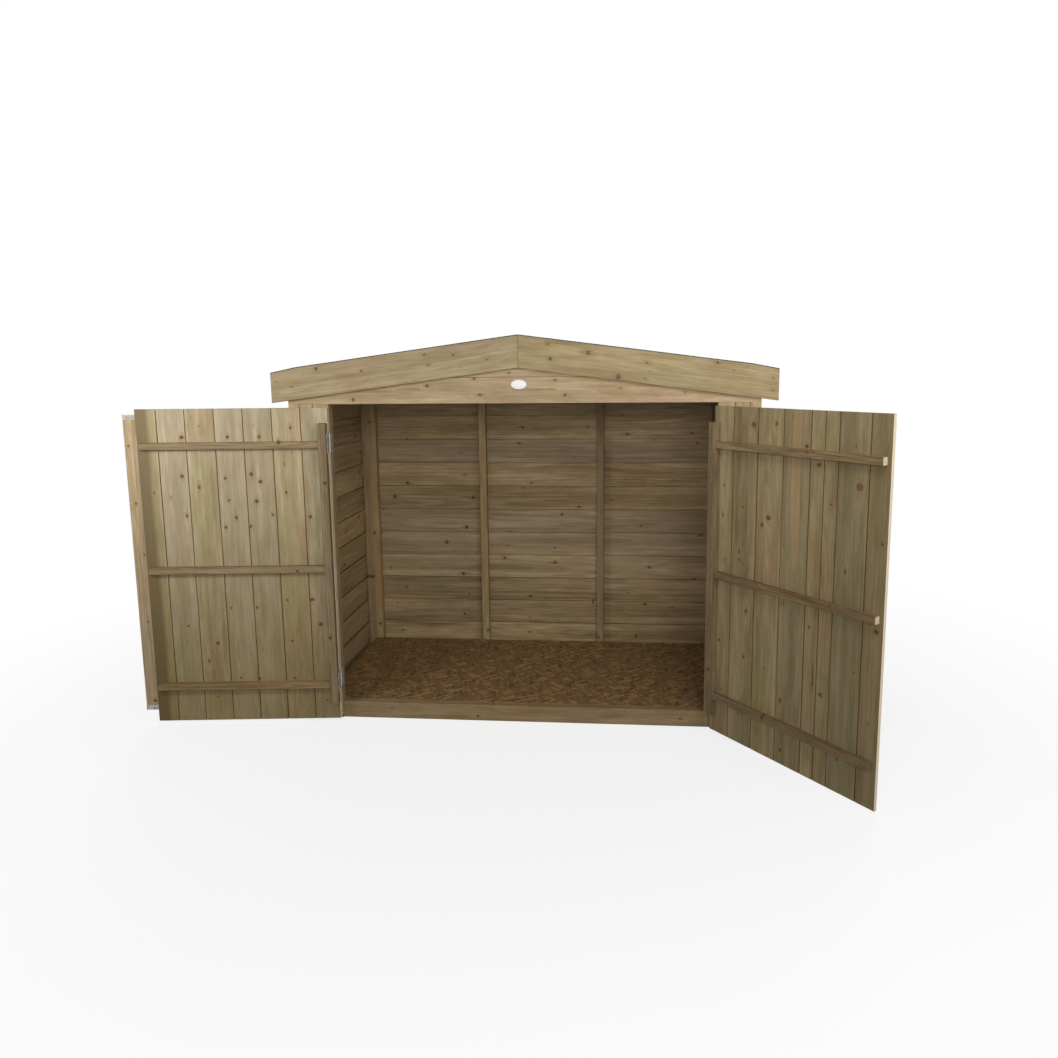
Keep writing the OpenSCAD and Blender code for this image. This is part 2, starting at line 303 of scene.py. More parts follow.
def shape_knot(wood):
    """How much of each point is in the nearest knot's core, in its rim, and in the grain round it."""
    wood.is_crack = wood.calc("LESS_THAN", wood.knot_size, 0.0)
    wood.size = wood.calc("MAXIMUM", wood.calc("ABSOLUTE", wood.knot_size), LEAST_SIZE)
    present = wood.calc("GREATER_THAN", wood.size, LEAST_KNOT)
    wood.is_knot = wood.less(present, wood.is_crack)
    ragged = wood.scaled(wood.noise(wood.place, 190.0, 2.0), 1.5, 0.25)
    drawn_out = wood.scaled(wood.is_crack, CRACK_ALONG - KNOT_ALONG, KNOT_ALONG)
    squeezed = wood.scaled(wood.luck, 0.8, 0.6)
    reach = wood.put("CombineXYZ", wood.times(wood.less(wood.along, wood.knot_along), drawn_out),
                     wood.times(wood.less(wood.across, wood.knot_across), squeezed), 0.0)
    steps = wood.times(wood.calc("DIVIDE", wood.length(reach), wood.size), ragged)
    flow = wood.length(wood.stretch(reach, 0.42, 1.0, 1.0))
    wood.flow = wood.times(wood.calc("DIVIDE", flow, wood.size), ragged)
    wood.halo = wood.times(wood.ramp(wood.flow, 0.7, 3.4, 1.0, 0.0), present)
    wood.core = wood.times(wood.ramp(steps, 0.85, 1.1, 1.0, 0.0), present)
    wood.rim = wood.times(wood.ramp(wood.apart(steps, 0.95), 0.0, 0.42, 1.0, 0.0), wood.is_knot)


print("a crack is a knot drawn out %.0f times as long" % (KNOT_ALONG / CRACK_ALONG))

# %% [markdown]
# A small knot is dark all over. A big one has a browner heart in a dark rim, and round it paler wood with a
# painted highlight.
# Each knot draws its own luck from its place, so no two are equally bold.

# %% Colour a knot
KNOT_CORE, KNOT_RIM, KNOT_EDGE = paint(86, 63, 38), paint(60, 45, 28), paint(142, 114, 78)
KNOT_HEART, KNOT_PALE_HIGHLIGHT = paint(134, 102, 68), paint(206, 188, 154)
OPEN_CRACK, RESIN = paint(54, 42, 27), paint(184, 134, 88)


def colour_knot(wood, colour, line, crack, boldness):
    """Lays the nearest knot over the wood, from the pale wood and painted highlight round it to its dark rim."""
    # Pale wood with a painted highlight round the bigger knots.
    highlight = wood.times(wood.ramp(wood.flow, 1.2, 2.0), wood.ramp(wood.flow, 4.0, 1.9),
                      wood.ramp(wood.size, 3 * MM, 6 * MM), wood.ramp(line, 0.40, 0.62, 0.0, 0.34),
                      wood.luck, wood.is_knot)
    colour = wood.blend(highlight, colour, KNOT_PALE_HIGHLIGHT)
    colour = wood.blend(wood.times(wood.calc("POWER", wood.halo, 2.0), 0.5), colour, KNOT_EDGE)
    bold = wood.scaled(wood.luck, -0.5 * boldness, 1.05 * boldness)
    core = wood.blend(wood.ramp(wood.size, 5 * MM, 9 * MM, 0.0, 0.85), KNOT_CORE, KNOT_HEART)
    colour = wood.blend(wood.times(wood.core, bold, 0.9), colour, wood.blend(wood.is_crack, core, crack))
    fissure = wood.ramp(wood.apart(wood.noise(wood.place, 230.0, 1.0), 0.5), 0.08, 0.0)
    colour = wood.blend(wood.times(wood.core, fissure, 0.7), colour, OPEN_CRACK)
    return wood.blend(wood.times(wood.rim, bold, 0.8), colour, KNOT_RIM)


print("a knot is laid on in glow, edge, core, fissure and rim")

# %% [markdown]
# All other figure is long with the grain. The table below gives, for each kind, how fine its noise is
# along and across the board, its detail and its roughness. The rings are cut from the distance to the
# pith, which wanders along the board and bulges where a knot pushes the grain aside.

# %% Cut through the rings
RING_WIDTH = 4.2 * MM
FIGURE = {
    "broad": (0.9, 17.0, 1.0, 0.5), "wavy": (2.0, 25.0, 2.0, 0.5), "fibre": (11.0, 640.0, 2.0, 0.6),
    "patch": (3.4, 12.0, 2.0, 0.55), "cloud": (8.0, 34.0, 3.0, 0.6), "line": (6.0, 210.0, 3.0, 0.6),
    "drift": (3.1, 9.0, 2.0, 0.5), "sawn": (420.0, 9.0, 1.0, 0.5),
}


def figure(wood, kind):
    along, across, detail, rough = FIGURE[kind]
    return wood.noise(wood.stretch(wood.place, along, across, across), 1.0, detail, rough)


def cut_rings(wood):
    """The streaks, and the late wood of each year, where the board's face cuts the rings."""
    across = wood.plus(wood.across, wood.wander(wood.along, 1.3, 9 * MM))
    through = wood.plus(wood.through, wood.wander(wood.plus(wood.along, 37.0), 0.9, 48 * MM))
    wood.from_pith = wood.length(wood.put("CombineXYZ", across, through, 0.0))
    radius = wood.plus(wood.from_pith, wood.times(wood.halo, wood.size, 1.1))
    rows = wood.put("CombineXYZ", wood.times(wood.along, 0.7), wood.times(radius, 80.0), 0.0)
    streak = wood.ramp(wood.noise(rows, 1.0, 3.0, 0.55), 0.28, 0.74)
    wood.streak = wood.scaled(streak, 0.55, wood.ramp(figure(wood, "broad"), 0.34, 0.66, 0.0, 0.45))
    years = wood.plus(wood.calc("DIVIDE", radius, RING_WIDTH), wood.times(figure(wood, "wavy"), 1.6))
    part = wood.calc("FRACT", years)
    wood.late = wood.times(wood.ramp(part, 0.15, 0.85), wood.ramp(part, 1.0, 0.88))


print("a ring is %.1f mm wide, and %d kinds of figure go with it" % (RING_WIDTH / MM, len(FIGURE)))

# %% [markdown]
# The colour is then laid on in thin layers, most of them as the years lay them: green where the salts of the
# treatment stayed damp, mottled and cloudy patches, dark fibres, a golden or a grey cast, darker
# heartwood, a darkening towards the ground, small flecks, and the knots on top. A multiplied layer keeps
# the figure under it. Some steps read the board's tone, so one recipe serves pale boards and dark ones.

# %% Tints and layers
GREEN_STAIN, GOLDEN_WOOD, GREY_WOOD = paint(124, 121, 92), paint(192, 164, 114), paint(172, 160, 142)
HEARTWOOD, WARM_STRIPE, LATE_WOOD = paint(112, 96, 66), paint(190, 156, 108), paint(150, 120, 80)
MOTTLED, CLOUDED, FIBROUS, LINED = (paint(214, 208, 196), paint(226, 220, 206), paint(190, 180, 160),
                                    paint(205, 194, 172))
ROSY, MOSSY = paint(255, 243, 232), paint(245, 255, 234)
LOWER_DARKENING, SHADED_JOINT_TINT = paint(204, 198, 176), paint(255, 226, 172)


def multiply_in(wood, colour, *layers):
    """Multiplies tints into a colour, one over the other, each by its own share."""
    for share, tint in layers:
        colour = wood.blend(share, colour, tint, "MULTIPLY")
    return colour


def pin_flecks(wood):
    """A few dark flecks, at most 0.3 strong."""
    pin = wood.put("TexVoronoi", wood.stretch(wood.place, 11.0, 27.0, 0.0), 1.0, voronoi_dimensions="2D").node
    is_rare = wood.calc("LESS_THAN", wood.put("SeparateXYZ", pin.outputs["Color"]), 0.09)
    return wood.times(wood.ramp(pin.outputs["Distance"], 0.09, 0.04, 0.0, 0.3), is_rare)


print("tints multiply the colour that they lie on")

# %% [markdown]
# The recipe takes a pale and a dark wood, and how strong each layer is on that kind of board. The
# order of the layers matters, because each covers a little of what was there before it. The board's
# own lightness comes last and scales all of it. Bumps follow the fibres and the late wood, and on
# rough timber also the marks of the saw.


# %% The softwood recipe
def softwood(name, pale, dark, rings=0.08, mottle=0.35, sawn=0.0, green=0.3, foot=0.25, cool=GREY_WOOD,
             streaks=0.3, hues=0.3, crack=OPEN_CRACK, knots=1.0):
    """Treated softwood between a pale and a dark colour, with rings, fibres, knots and stains."""
    wood = Recipe(name, roughness=0.8, specular=0.25)
    read_board(wood)
    shape_knot(wood)
    cut_rings(wood)
    off_ground = wood.put("SeparateXYZ", wood.put("TexCoord", out=3), out=2)
    fibre, patch, line, drift = (figure(wood, kind) for kind in ("fibre", "patch", "line", "drift"))

    colour = wood.blend(wood.streak, pale, dark)
    colour = multiply_in(wood, colour, (wood.times(wood.late, 0.72 * rings), LATE_WOOD))
    damp = wood.times(wood.ramp(patch, 0.40, 0.70), wood.ramp(off_ground, 0.2, 1.0, green, 0.4 * green))
    colour = wood.blend(damp, colour, GREEN_STAIN)
    colour = multiply_in(wood, colour, (wood.ramp(patch, 0.30, 0.70, mottle, 0.0), MOTTLED),
                         (wood.ramp(figure(wood, "cloud"), 0.36, 0.62, 0.6, 0.0), CLOUDED),
                         (wood.ramp(fibre, 0.62, 0.36, 0.0, 0.3), FIBROUS),
                         (wood.ramp(line, 0.56, 0.40, 0.0, streaks), LINED),
                         (wood.ramp(drift, 0.48, 0.64, 0.0, hues), ROSY),
                         (wood.ramp(drift, 0.50, 0.36, 0.0, hues), MOSSY))
    colour = wood.blend(wood.calc("MAXIMUM", wood.warmth, 0.0), colour, GOLDEN_WOOD)
    colour = wood.blend(wood.calc("MAXIMUM", wood.times(wood.warmth, -1.0), 0.0), colour, cool)
    inside = wood.ramp(wood.less(wood.heart, wood.from_pith), -16 * MM, 12 * MM, 0.0, 0.8)
    colour = wood.blend(inside, colour, HEARTWOOD)
    stripe = wood.ramp(wood.plus(wood.from_pith, wood.heart), -5 * MM, 5 * MM, 0.4, 0.0)
    colour = wood.blend(stripe, colour, WARM_STRIPE)
    # Darker towards the ground, by the finish's foot share.
    colour = multiply_in(wood, colour, (wood.ramp(off_ground, 0.0, 1.4, foot, 0.0), LOWER_DARKENING))
    colour = wood.blend(pin_flecks(wood), colour, KNOT_CORE)
    colour = colour_knot(wood, colour, line, crack, knots)
    # Painted shade: joint edges whose tone is darker than -0.3 get a browner tint.
    colour = multiply_in(wood, colour, (wood.ramp(wood.light, -0.3, -0.5), SHADED_JOINT_TINT))
    colour = wood.blend(wood.ramp(wood.light, 0.65, 0.85, 0.0, 0.8), colour, GREY_WOOD)
    colour = wood.put("VectorMath", colour, wood.plus(wood.light, 1.0), operation="SCALE")

    height = wood.scaled(fibre, 0.6, wood.times(wood.late, 0.3))
    if sawn:
        height = wood.scaled(figure(wood, "sawn"), sawn, height)
    wood.bump(wood.less(height, wood.times(wood.rim, 0.8)), 0.5, 0.5 * MM)
    return wood.finish_with(colour, wood.ramp(fibre, 0.2, 0.8, 0.72, 0.88))


print("softwood is laid on in thin layers")

# %% [markdown]
# Each kind of timber in the drawing gets a softwood of its own. The doors differ: the left one is pale
# and darker towards its foot, and the right one has weathered browner and greener.

# %% The store's softwoods
FINISH = {
    "front_boards": softwood("gable_softwood", paint(212, 190, 159), paint(180, 158, 128),
                             rings=0.13, green=0.08, streaks=0.2, crack=RESIN, knots=0.85),
    "barge_boards": softwood("barge_softwood", paint(194, 176, 141), paint(161, 145, 114),
                             rings=0.14, streaks=0.35, knots=0.75),
    "left_door_boards": softwood("left_door_softwood", paint(199, 186, 161), paint(168, 154, 127),
                                 foot=1.0, hues=0.55),
    "right_door_boards": softwood("right_door_softwood", paint(187, 168, 133), paint(138, 122, 92),
                                  foot=0.1, hues=0.55, cool=GREEN_STAIN),
    "door_timber": softwood("ledge_softwood", paint(186, 163, 127), paint(138, 117, 86),
                            rings=0.2, mottle=0.25, streaks=0.9),
    "overlap_cladding": softwood("cladding_softwood", paint(216, 192, 156), paint(150, 127, 96),
                                 rings=0.1, mottle=0.5, sawn=0.3, streaks=0.5),
    "framing_timber": softwood("framing_softwood", paint(180, 155, 119), paint(146, 122, 88), sawn=0.4),
    "roof_deck": softwood("deck_softwood", paint(190, 166, 124), paint(160, 136, 98), sawn=0.2),
}
print(len(FINISH), "softwood finishes")

# %% [markdown]
# ## The floor and the felt
# The floor is strand board: flat strands of wood pressed together, each lying its own way. Four layers
# of long stretched noise, each turned its own way and cut off sharply, lie over each other as the
# strands do. Mineral felt is bitumen with crushed slate rolled in, so it is dark, dull and gritty.
# Neither follows a board, so Object coordinates serve.


# %% Strand board and felt
STRANDS = ((0.3, paint(142, 108, 65)), (1.4, paint(90, 68, 41)), (2.5, paint(162, 126, 77)),
           (0.9, paint(122, 94, 57)))


def strand_board(name):
    """Four layers of strands, each turned by an angle and with a colour of its own."""
    mix = Recipe(name, roughness=0.7)
    place = mix.put("TexCoord", out=3)
    colour, height = paint(118, 91, 55), 0.0
    for layer, (turn, strand) in enumerate(STRANDS):
        turned = mix.put("VectorRotate", place, (0, 0, 0), (0, 0, 1), turn).node.outputs[0]
        shifted = mix.put("VectorMath", mix.stretch(turned, 13.0, 54.0, 0.0), (7.0 * layer, 3.0 * layer, 0.0))
        chips = mix.ramp(mix.noise(shifted, 1.0, 1.0, 0.3), 0.50, 0.56)
        fibres = mix.noise(mix.stretch(turned, 25.0, 620.0, 0.0), 1.0, 2.0)
        shade = mix.blend(mix.ramp(fibres, 0.62, 0.36, 0.0, 0.35), strand, paint(78, 58, 36))
        colour = mix.blend(chips, colour, shade)
        height = mix.scaled(chips, 0.5, height)
    mix.bump(height, 0.5, 0.6 * MM)
    return mix.finish_with(colour)


def mineral_felt(name):
    mix = Recipe(name, roughness=0.95, specular=0.2)
    place = mix.put("TexCoord", out=3)
    grit = mix.put("TexVoronoi", place, 620.0).node
    lot = mix.put("SeparateXYZ", grit.outputs["Color"])
    colour = mix.blend(mix.ramp(lot, 0.2, 1.0), paint(44, 46, 46), paint(88, 92, 88))
    worn = mix.noise(mix.stretch(place, 3.0, 5.0, 5.0), 1.0, 3.0)
    colour = mix.blend(mix.ramp(worn, 0.45, 0.75, 0.0, 0.4), colour, paint(60, 60, 56))
    mix.bump(mix.less(1.0, grit.outputs["Distance"]), 0.8, 0.8 * MM)
    return mix.finish_with(colour)


print("the floor has", len(STRANDS), "layers of strands")

# %% [markdown]
# ## The metal and the badge
# Galvanised steel is dull, with a spangle of zinc crystals. The nails have rusted a little, in small
# patches. The badge is white plastic under a film of dust.


# %% Galvanised steel, nail steel and white plastic
def galvanised_steel(name):
    mix = Recipe(name, roughness=0.5, metallic=0.4)
    place = mix.put("TexCoord", out=3)
    spangle = mix.put("TexVoronoi", place, 210.0).node
    lot = mix.put("SeparateXYZ", spangle.outputs["Color"])
    colour = mix.blend(lot, paint(160, 156, 148), paint(192, 188, 179))
    dull = mix.noise(place, 60.0, 3.0)
    colour = mix.blend(mix.ramp(dull, 0.42, 0.7, 0.0, 0.6), colour, paint(104, 100, 86))
    mix.bump(dull, 0.2, 0.2 * MM)
    return mix.finish_with(colour, mix.ramp(lot, 0.0, 1.0, 0.42, 0.6))


def nail_steel(name):
    mix = Recipe(name, roughness=0.62, metallic=0.3)
    place = mix.put("TexCoord", out=3)
    rust = mix.noise(place, 170.0, 3.0)
    mix.bump(rust, 0.4, 0.2 * MM)
    return mix.finish_with(mix.blend(mix.ramp(rust, 0.42, 0.62), paint(150, 144, 130), paint(112, 84, 58)))


def white_plastic(name):
    mix = Recipe(name, roughness=0.4)
    place = mix.put("TexCoord", out=3)
    dust = mix.noise(place, 90.0, 3.0)
    mix.bump(dust, 0.1, 0.1 * MM)
    return mix.finish_with(mix.blend(mix.ramp(dust, 0.5, 0.8, 0.0, 0.3), paint(240, 240, 238),
                                     paint(224, 222, 214)))


FINISH["floor_sheet"] = strand_board("strand_board")
FINISH["roof_felt"] = mineral_felt("mineral_felt")
FINISH["galvanised_steel"] = galvanised_steel("galvanised_steel")
FINISH["badge"] = white_plastic("white_plastic")
NAIL_FINISH = nail_steel("nail_steel")
print(len(FINISH), "finishes in all")

# %% [markdown]
# ## Hand tools
# Operators work on all that is selected, and the frame's pieces are still selected after loading, so
# the first tool selects one piece alone. In edit mode we then choose faces and points by where they
# are or which way they face.


# %% Select, edit and settle
def alone(*pieces):
    """Leaves these pieces selected and nothing else, the first of them active."""
    bpy.ops.object.select_all(action="DESELECT")
    for piece in pieces:
        piece.select_set(True)
    if pieces:
        bpy.context.view_layer.objects.active = pieces[0]


def start_edit(piece):
    alone(piece)
    bpy.ops.object.mode_set(mode="EDIT")
    bpy.ops.mesh.select_all(action="SELECT")


def end_edit():
    bpy.ops.object.mode_set(mode="OBJECT")


def pick(piece, kind, test):
    """In edit mode, selects the faces or points that pass a test, and nothing else."""
    mesh = bmesh.from_edit_mesh(piece.data)
    bpy.ops.mesh.select_mode(type="FACE" if kind == "faces" else "VERT")
    bpy.ops.mesh.select_all(action="DESELECT")
    for part in [part for part in getattr(mesh, kind) if test(part)]:
        part.select_set(True)
    mesh.select_flush_mode()
    bmesh.update_edit_mesh(piece.data)


def settle(piece):
    """Writes a piece's place, turn and scale into its mesh."""
    alone(piece)
    bpy.ops.object.transform_apply(location=True, rotation=True, scale=True)
    return piece


print("pieces can be selected, edited and settled")

# %% [markdown]
# Every timber starts as a block at its size and place. The other tools of the workshop follow: a saw
# that takes the waste away, a scored line, points moved by a distance, eased edges, and a copy.


# %% Block, saw, score, ease and copy
def block(name, low, high):
    """A cube from one corner to the other, with its place in its mesh."""
    corners = list(zip(low, high))
    low, high = Vector([min(pair) for pair in corners]), Vector([max(pair) for pair in corners])
    alone()
    bpy.ops.mesh.primitive_cube_add(size=1, location=(low + high) / 2, scale=high - low)
    piece = bpy.context.object
    piece.name = name
    return settle(piece)


def cut(piece, point, facing):
    """Saws a piece along a plane, and takes away what lies on the side that the plane faces."""
    start_edit(piece)
    bpy.ops.mesh.bisect(plane_co=point, plane_no=facing, use_fill=True, clear_outer=True)
    end_edit()


def score(piece, point, facing):
    """Adds a row of edges along a plane."""
    start_edit(piece)
    bpy.ops.mesh.bisect(plane_co=point, plane_no=facing)
    end_edit()


def shift_points(piece, shift, test):
    """Moves the points whose place passes a test."""
    start_edit(piece)
    pick(piece, "verts", lambda point: test(point.co))
    bpy.ops.transform.translate(value=shift)
    end_edit()


SHARP_EDGE = math.radians(30)


def ease(piece, width):
    """Takes the sharpness off every sharp edge."""
    start_edit(piece)
    bpy.ops.mesh.select_mode(type="EDGE")
    bpy.ops.mesh.select_all(action="DESELECT")
    bpy.ops.mesh.edges_select_sharp(sharpness=SHARP_EDGE)
    bpy.ops.mesh.bevel(offset=width, segments=1, affect="EDGES", clamp_overlap=True)
    end_edit()


def copy_of(piece, name, shift):
    """A second piece like the first, with its own mesh, moved by a distance."""
    twin = piece.copy()
    twin.data = piece.data.copy()
    twin.name = name
    bpy.context.scene.collection.objects.link(twin)
    twin.data.transform(Matrix.Translation(shift))
    return twin


print("tools ready")

# %% [markdown]
# ## Marking a board's wood
# This tool writes the three attributes. The "grain" of a point is its place measured along the board,
# across it and through it. A seeded draw sets the pith some way off the board's middle, so each run
# gives the same wood. Where a board has several knots, it is scored half way between neighbours, so
# that every face knows its own nearest knot.

# %% Write grain, knot and tone
LOT = random.Random(1926)
TRUNK, PITH_ASIDE, PITH_DEEP = 40, 1.1, (12, 60)
END_TONE, EDGE_TONE = (-0.1, 0.0), -0.05


def flat_distance(place, other, through):
    """Distance between two points as seen square to the board's face."""
    offset = place - other
    return (offset - through * offset.dot(through)).length


def mark_wood(piece, along, across, knots=(), pith=None, light=0.0, warm=0.0, heart=0.0,
              ends=END_TONE, edges=(EDGE_TONE, EDGE_TONE)):
    """Writes the wood's attributes. A knot is a place and a radius; ends and edges change the tone."""
    along, across = along.normalized(), across.normalized()
    through = along.cross(across)
    knots = sorted(knots, key=lambda knot: along.dot(knot[0]))
    for (here, _), (there, _) in zip(knots, knots[1:]):
        score(piece, (here + there) / 2, there - here)
    mesh = piece.data
    middle = sum((point.co for point in mesh.vertices), Vector()) / len(mesh.vertices)
    reach = max(abs(across.dot(point.co - middle)) for point in mesh.vertices)
    start = LOT.uniform(0, TRUNK)
    drawn = (LOT.uniform(-PITH_ASIDE, PITH_ASIDE) * reach, LOT.choice((-1, 1)) * LOT.uniform(*PITH_DEEP) * MM)
    aside, deep = pith or drawn

    def on_grain(place):
        offset = place - middle
        return along.dot(offset) + start, across.dot(offset) + aside, through.dot(offset) + deep

    grain = mesh.attributes.new("grain", "FLOAT_VECTOR", "POINT")
    grain.data.foreach_set("vector", [v for point in mesh.vertices for v in on_grain(point.co)])
    knot = mesh.attributes.new("knot", "FLOAT_VECTOR", "CORNER")
    tone = mesh.attributes.new("tone", "FLOAT_VECTOR", "CORNER")
    for face in mesh.polygons:
        nearest = (0.0, 0.0, 0.0)
        if knots:
            place, size = min(knots, key=lambda k: flat_distance(k[0], face.center, through))
            nearest = (*on_grain(place)[:2], size)
        shade = (light, warm, heart)
        if abs(face.normal.dot(along)) > 0.8:
            shade = (light + ends[0], warm + ends[1], heart)
        elif abs(face.normal.dot(across)) > 0.5:
            shade = (light + edges[face.normal.dot(across) > 0], warm, heart)
        for corner in face.loop_indices:
            knot.data[corner].vector = nearest
            tone.data[corner].vector = shade
    return piece


print("the pith lies %d to %d mm from a board's middle" % PITH_DEEP)

# %% [markdown]
# Most timbers are squared, have eased edges, and carry knots that weren't measured one by one. One
# helper makes such a timber from its two corners. Its knots come from the same seeded draws.

# %% A timber with knots at random
X, Y, Z = Vector((1, 0, 0)), Vector((0, 1, 0)), Vector((0, 0, 1))
EASED_EDGE, LARGEST_KNOT = 1.2 * MM, 6.5 * MM


def some_knots(low, high, along, how_many, largest=LARGEST_KNOT):
    """Knots at random places on a board's face, apart from each other along its length."""
    low, high = Vector(low), Vector(high)
    found = []
    for step in range(how_many):
        share = (step + LOT.uniform(0.15, 0.85)) / how_many
        place = Vector([LOT.uniform(a, b) for a, b in zip(low, high)])
        place += along * (along.dot(low + (high - low) * share) - along.dot(place))
        found.append((place, LOT.uniform(0.35, 1.0) * largest))
    return found


def top_of(piece):
    return max(point.co.z for point in piece.data.vertices)


def timber(name, low, high, along, across, eased=EASED_EDGE, knots=0, saw=None, **look):
    """A squared timber: a block, sawn if need be, with its edges eased and its wood marked."""
    piece = block(name, low, high)
    if saw:
        saw(piece)
    ease(piece, eased)
    if saw:
        high = (*high[:2], min(high[2], top_of(piece)))
    look.setdefault("light", LOT.uniform(-0.08, 0.08))
    look.setdefault("warm", LOT.uniform(-0.15, 0.12))
    if isinstance(knots, int):
        knots = some_knots(low, high, along, knots)
    return mark_wood(piece, along, across, knots, **look)


print("edges are eased by %.1f mm" % (EASED_EDGE / MM))

# %% [markdown]
# ## Handing a piece over
# The pieces of one CAD node are joined, given the finish of the node's slot, and set to stand for that
# node on the same body. Printing how far the box of the joined piece is from the node's own shows at
# once whether the piece is where the drawing has it.


# %% Join the pieces of a node
def joined(pieces, name, finish):
    """Joins pieces to one, with a name and a finish."""
    alone(*pieces)
    if len(pieces) > 1:
        bpy.ops.object.join()
    made = bpy.context.object
    made.name = name
    made.data.name = name
    made.data.materials.clear()
    made.data.materials.append(finish)
    return made


def hand_over(pieces, node, name=None):
    """Joins the pieces and lets them stand for a CAD node."""
    made = joined(pieces, name or node + "_timber", FINISH[SLOT_OF[node]])
    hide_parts(node)
    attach(made, BODY_OF[node])
    low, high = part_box(node)
    points = [point.co for point in made.data.vertices]
    miss = max(max(abs(min(p[i] for p in points) - low[i]), abs(max(p[i] for p in points) - high[i]))
               for i in range(3))
    print("%s: %d pieces, %d faces, box within %.1f mm"
          % (made.name, len(pieces), len(made.data.polygons), miss / MM))


print(len(SLOT_OF), "nodes have a slot for their finish")

# %% [markdown]
# ## Frame: sill, posts and rails
# The front stands on a sill between two posts, under a top rail. These are planed timbers with eased
# edges. A block with bevelled edges is all that the form needs; the sill gets its three small knots
# from the photograph.

# %% Front frame
SIDES = ((-1, "left"), (1, "right"))
POST_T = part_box("door_posts")[1].x - POST_X
FRAME_Y0, FRAME_Y1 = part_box("door_posts")[0].y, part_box("door_posts")[1].y
SILL_Y0, SILL_Y1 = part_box("front_sill")[0].y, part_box("front_sill")[1].y
SILL_KNOTS = [(Vector((x * MM, SILL_Y0, z * MM)), size * MM)
              for x, z, size in ((-194, 20, 5), (642, 32, 5), (-560, 45, 3))]

hand_over([timber("sill", (-POST_X, SILL_Y0, 0), (POST_X, SILL_Y1, SILL_TOP), X, Z, knots=SILL_KNOTS,
                  light=0.04, warm=-0.05)], "front_sill")
hand_over([timber("post", (side * POST_X, FRAME_Y0, 0), (side * (POST_X + POST_T), FRAME_Y1, HEAD_Z), Z, X,
                  knots=3, light=-0.12) for side in (-1, 1)], "door_posts")
rails = [timber("head_rail", (-INNER_X, FRAME_Y0, HEAD_Z), (INNER_X, FRAME_Y1, HEAD_Z + FRAME_D),
                X, Z, knots=4)]
for side in (-1, 1):
    rails.append(timber("foot_rail", (side * (POST_X + POST_T), FRAME_Y0, 0),
                        (side * INNER_X, FRAME_Y1, SILL_TOP), X, Z))
hand_over(rails, "front_frame_rails")

# %% [markdown]
# ## Roof lines
# The side walls, gable and back all end under the sloping deck. In the workshop they are cut on the
# slope after they are nailed up, and the same works here: a tool saws any piece along the plane under
# the deck.

# %% A saw for the slope
DECK_T, FELT_T = 12 * MM, 3 * MM
UNDER_DECK = FELT_T + DECK_T
ROOF_FALL = 131 * MM
SLOPE = ROOF_FALL / ROOF_X


def roof_z(x, depth=0.0):
    """Height of the roof line at a distance from the ridge, less a plumb depth."""
    return RIDGE_Z - SLOPE * abs(x) - depth


def cut_under_deck(piece):
    for side in (-1, 1):
        cut(piece, (0, 0, roof_z(0, UNDER_DECK)), (side * SLOPE, 0, 1))


def roof_timber(name, low, high, along, across, knots, **look):
    """A timber whose top is sawn off under the deck, before its edges are eased."""
    return timber(name, low, high, along, across, knots=knots, saw=cut_under_deck, **look)


print("the slope falls %.1f degrees" % math.degrees(math.atan(SLOPE)))

# %% [markdown]
# ## Wall frames
# Studs stand at the corners, and two more in the long back wall, with short rails at the foot and
# under the roof. They show inside the open store, so each is a timber of its own, with its own wood.

# %% Side and back frames
STUD_W, STUD_X = 35 * MM, 295 * MM
HALF_STUD = STUD_W / 2
RAIL_TOP = roof_z(FRAME_X, UNDER_DECK) - FRAME_D
BACK_Y0 = BACK_Y - FRAME_D
# Painted light and shade: the back studs left of the middle are lighter, those right of it darker.
BACK_STUD_PAINTED_LIGHT = {-1: 0.2, 1: -0.1}

for side, wall in SIDES:
    hand_over([roof_timber("stud", (side * INNER_X, y, 0), (side * FRAME_X, y + FRAME_D, RIDGE_Z), Z, Y, 3)
               for y in (FRAME_Y0, BACK_Y0)], wall + "_wall_studs")
    hand_over([roof_timber("rail", (side * INNER_X, FRAME_Y0 + FRAME_D, z0), (side * FRAME_X, BACK_Y0, z1),
                           Y, Z, 1) for z0, z1 in ((0, FRAME_D), (RAIL_TOP, RIDGE_Z))], wall + "_wall_rails")

half_bay = STUD_X - HALF_STUD
rails = [timber("rail", (-half_bay, BACK_Y0, z), (half_bay, BACK_Y, z + FRAME_D), X, Z, knots=2)
         for z in (0, RAIL_TOP)]
studs = []
for side in (-1, 1):
    for x0, x1 in ((STUD_X - HALF_STUD, STUD_X + HALF_STUD), (INNER_X - STUD_W, INNER_X)):
        studs.append(roof_timber("stud", (side * x0, BACK_Y0, 0), (side * x1, BACK_Y, RIDGE_Z), Z, X, 3,
                                 light=BACK_STUD_PAINTED_LIGHT[side]))
    for z in (0, RAIL_TOP):
        rails.append(timber("rail", (side * (STUD_X + HALF_STUD), BACK_Y0, z),
                            (side * (INNER_X - STUD_W), BACK_Y, z + FRAME_D), X, Z, knots=1))
hand_over(studs, "back_wall_studs")
hand_over(rails, "back_wall_rails")

# %% [markdown]
# A beam carries the ridge, and an eaves board closes each side. Both end under the same slope.

# %% Ridge beam and eaves boards
low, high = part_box("ridge_beam")
hand_over([roof_timber("ridge_beam_log", low, high, Y, Z, 4)], "ridge_beam")
for side, wall in SIDES:
    low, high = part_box(wall + "_eaves_board")
    hand_over([roof_timber("eaves", low, (high.x, high.y, RIDGE_Z), Y, Z, 4)], wall + "_eaves_board")

# %% [markdown]
# ## Floor
# Three bearers on the ground carry one sheet of strand board. The sheet is already right as it is in
# the drawing, so it only gets its finish.

# %% Bearers and floor sheet
bearer_low, bearer_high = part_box("floor_bearers")
bearer_rows = [bearer_low.y, -FRAME_D / 2, bearer_high.y - FRAME_D]
hand_over([timber("bearer", (bearer_low.x, y, 0), (bearer_high.x, y + FRAME_D, bearer_high.z), X, Y, knots=3)
           for y in bearer_rows], "floor_bearers")


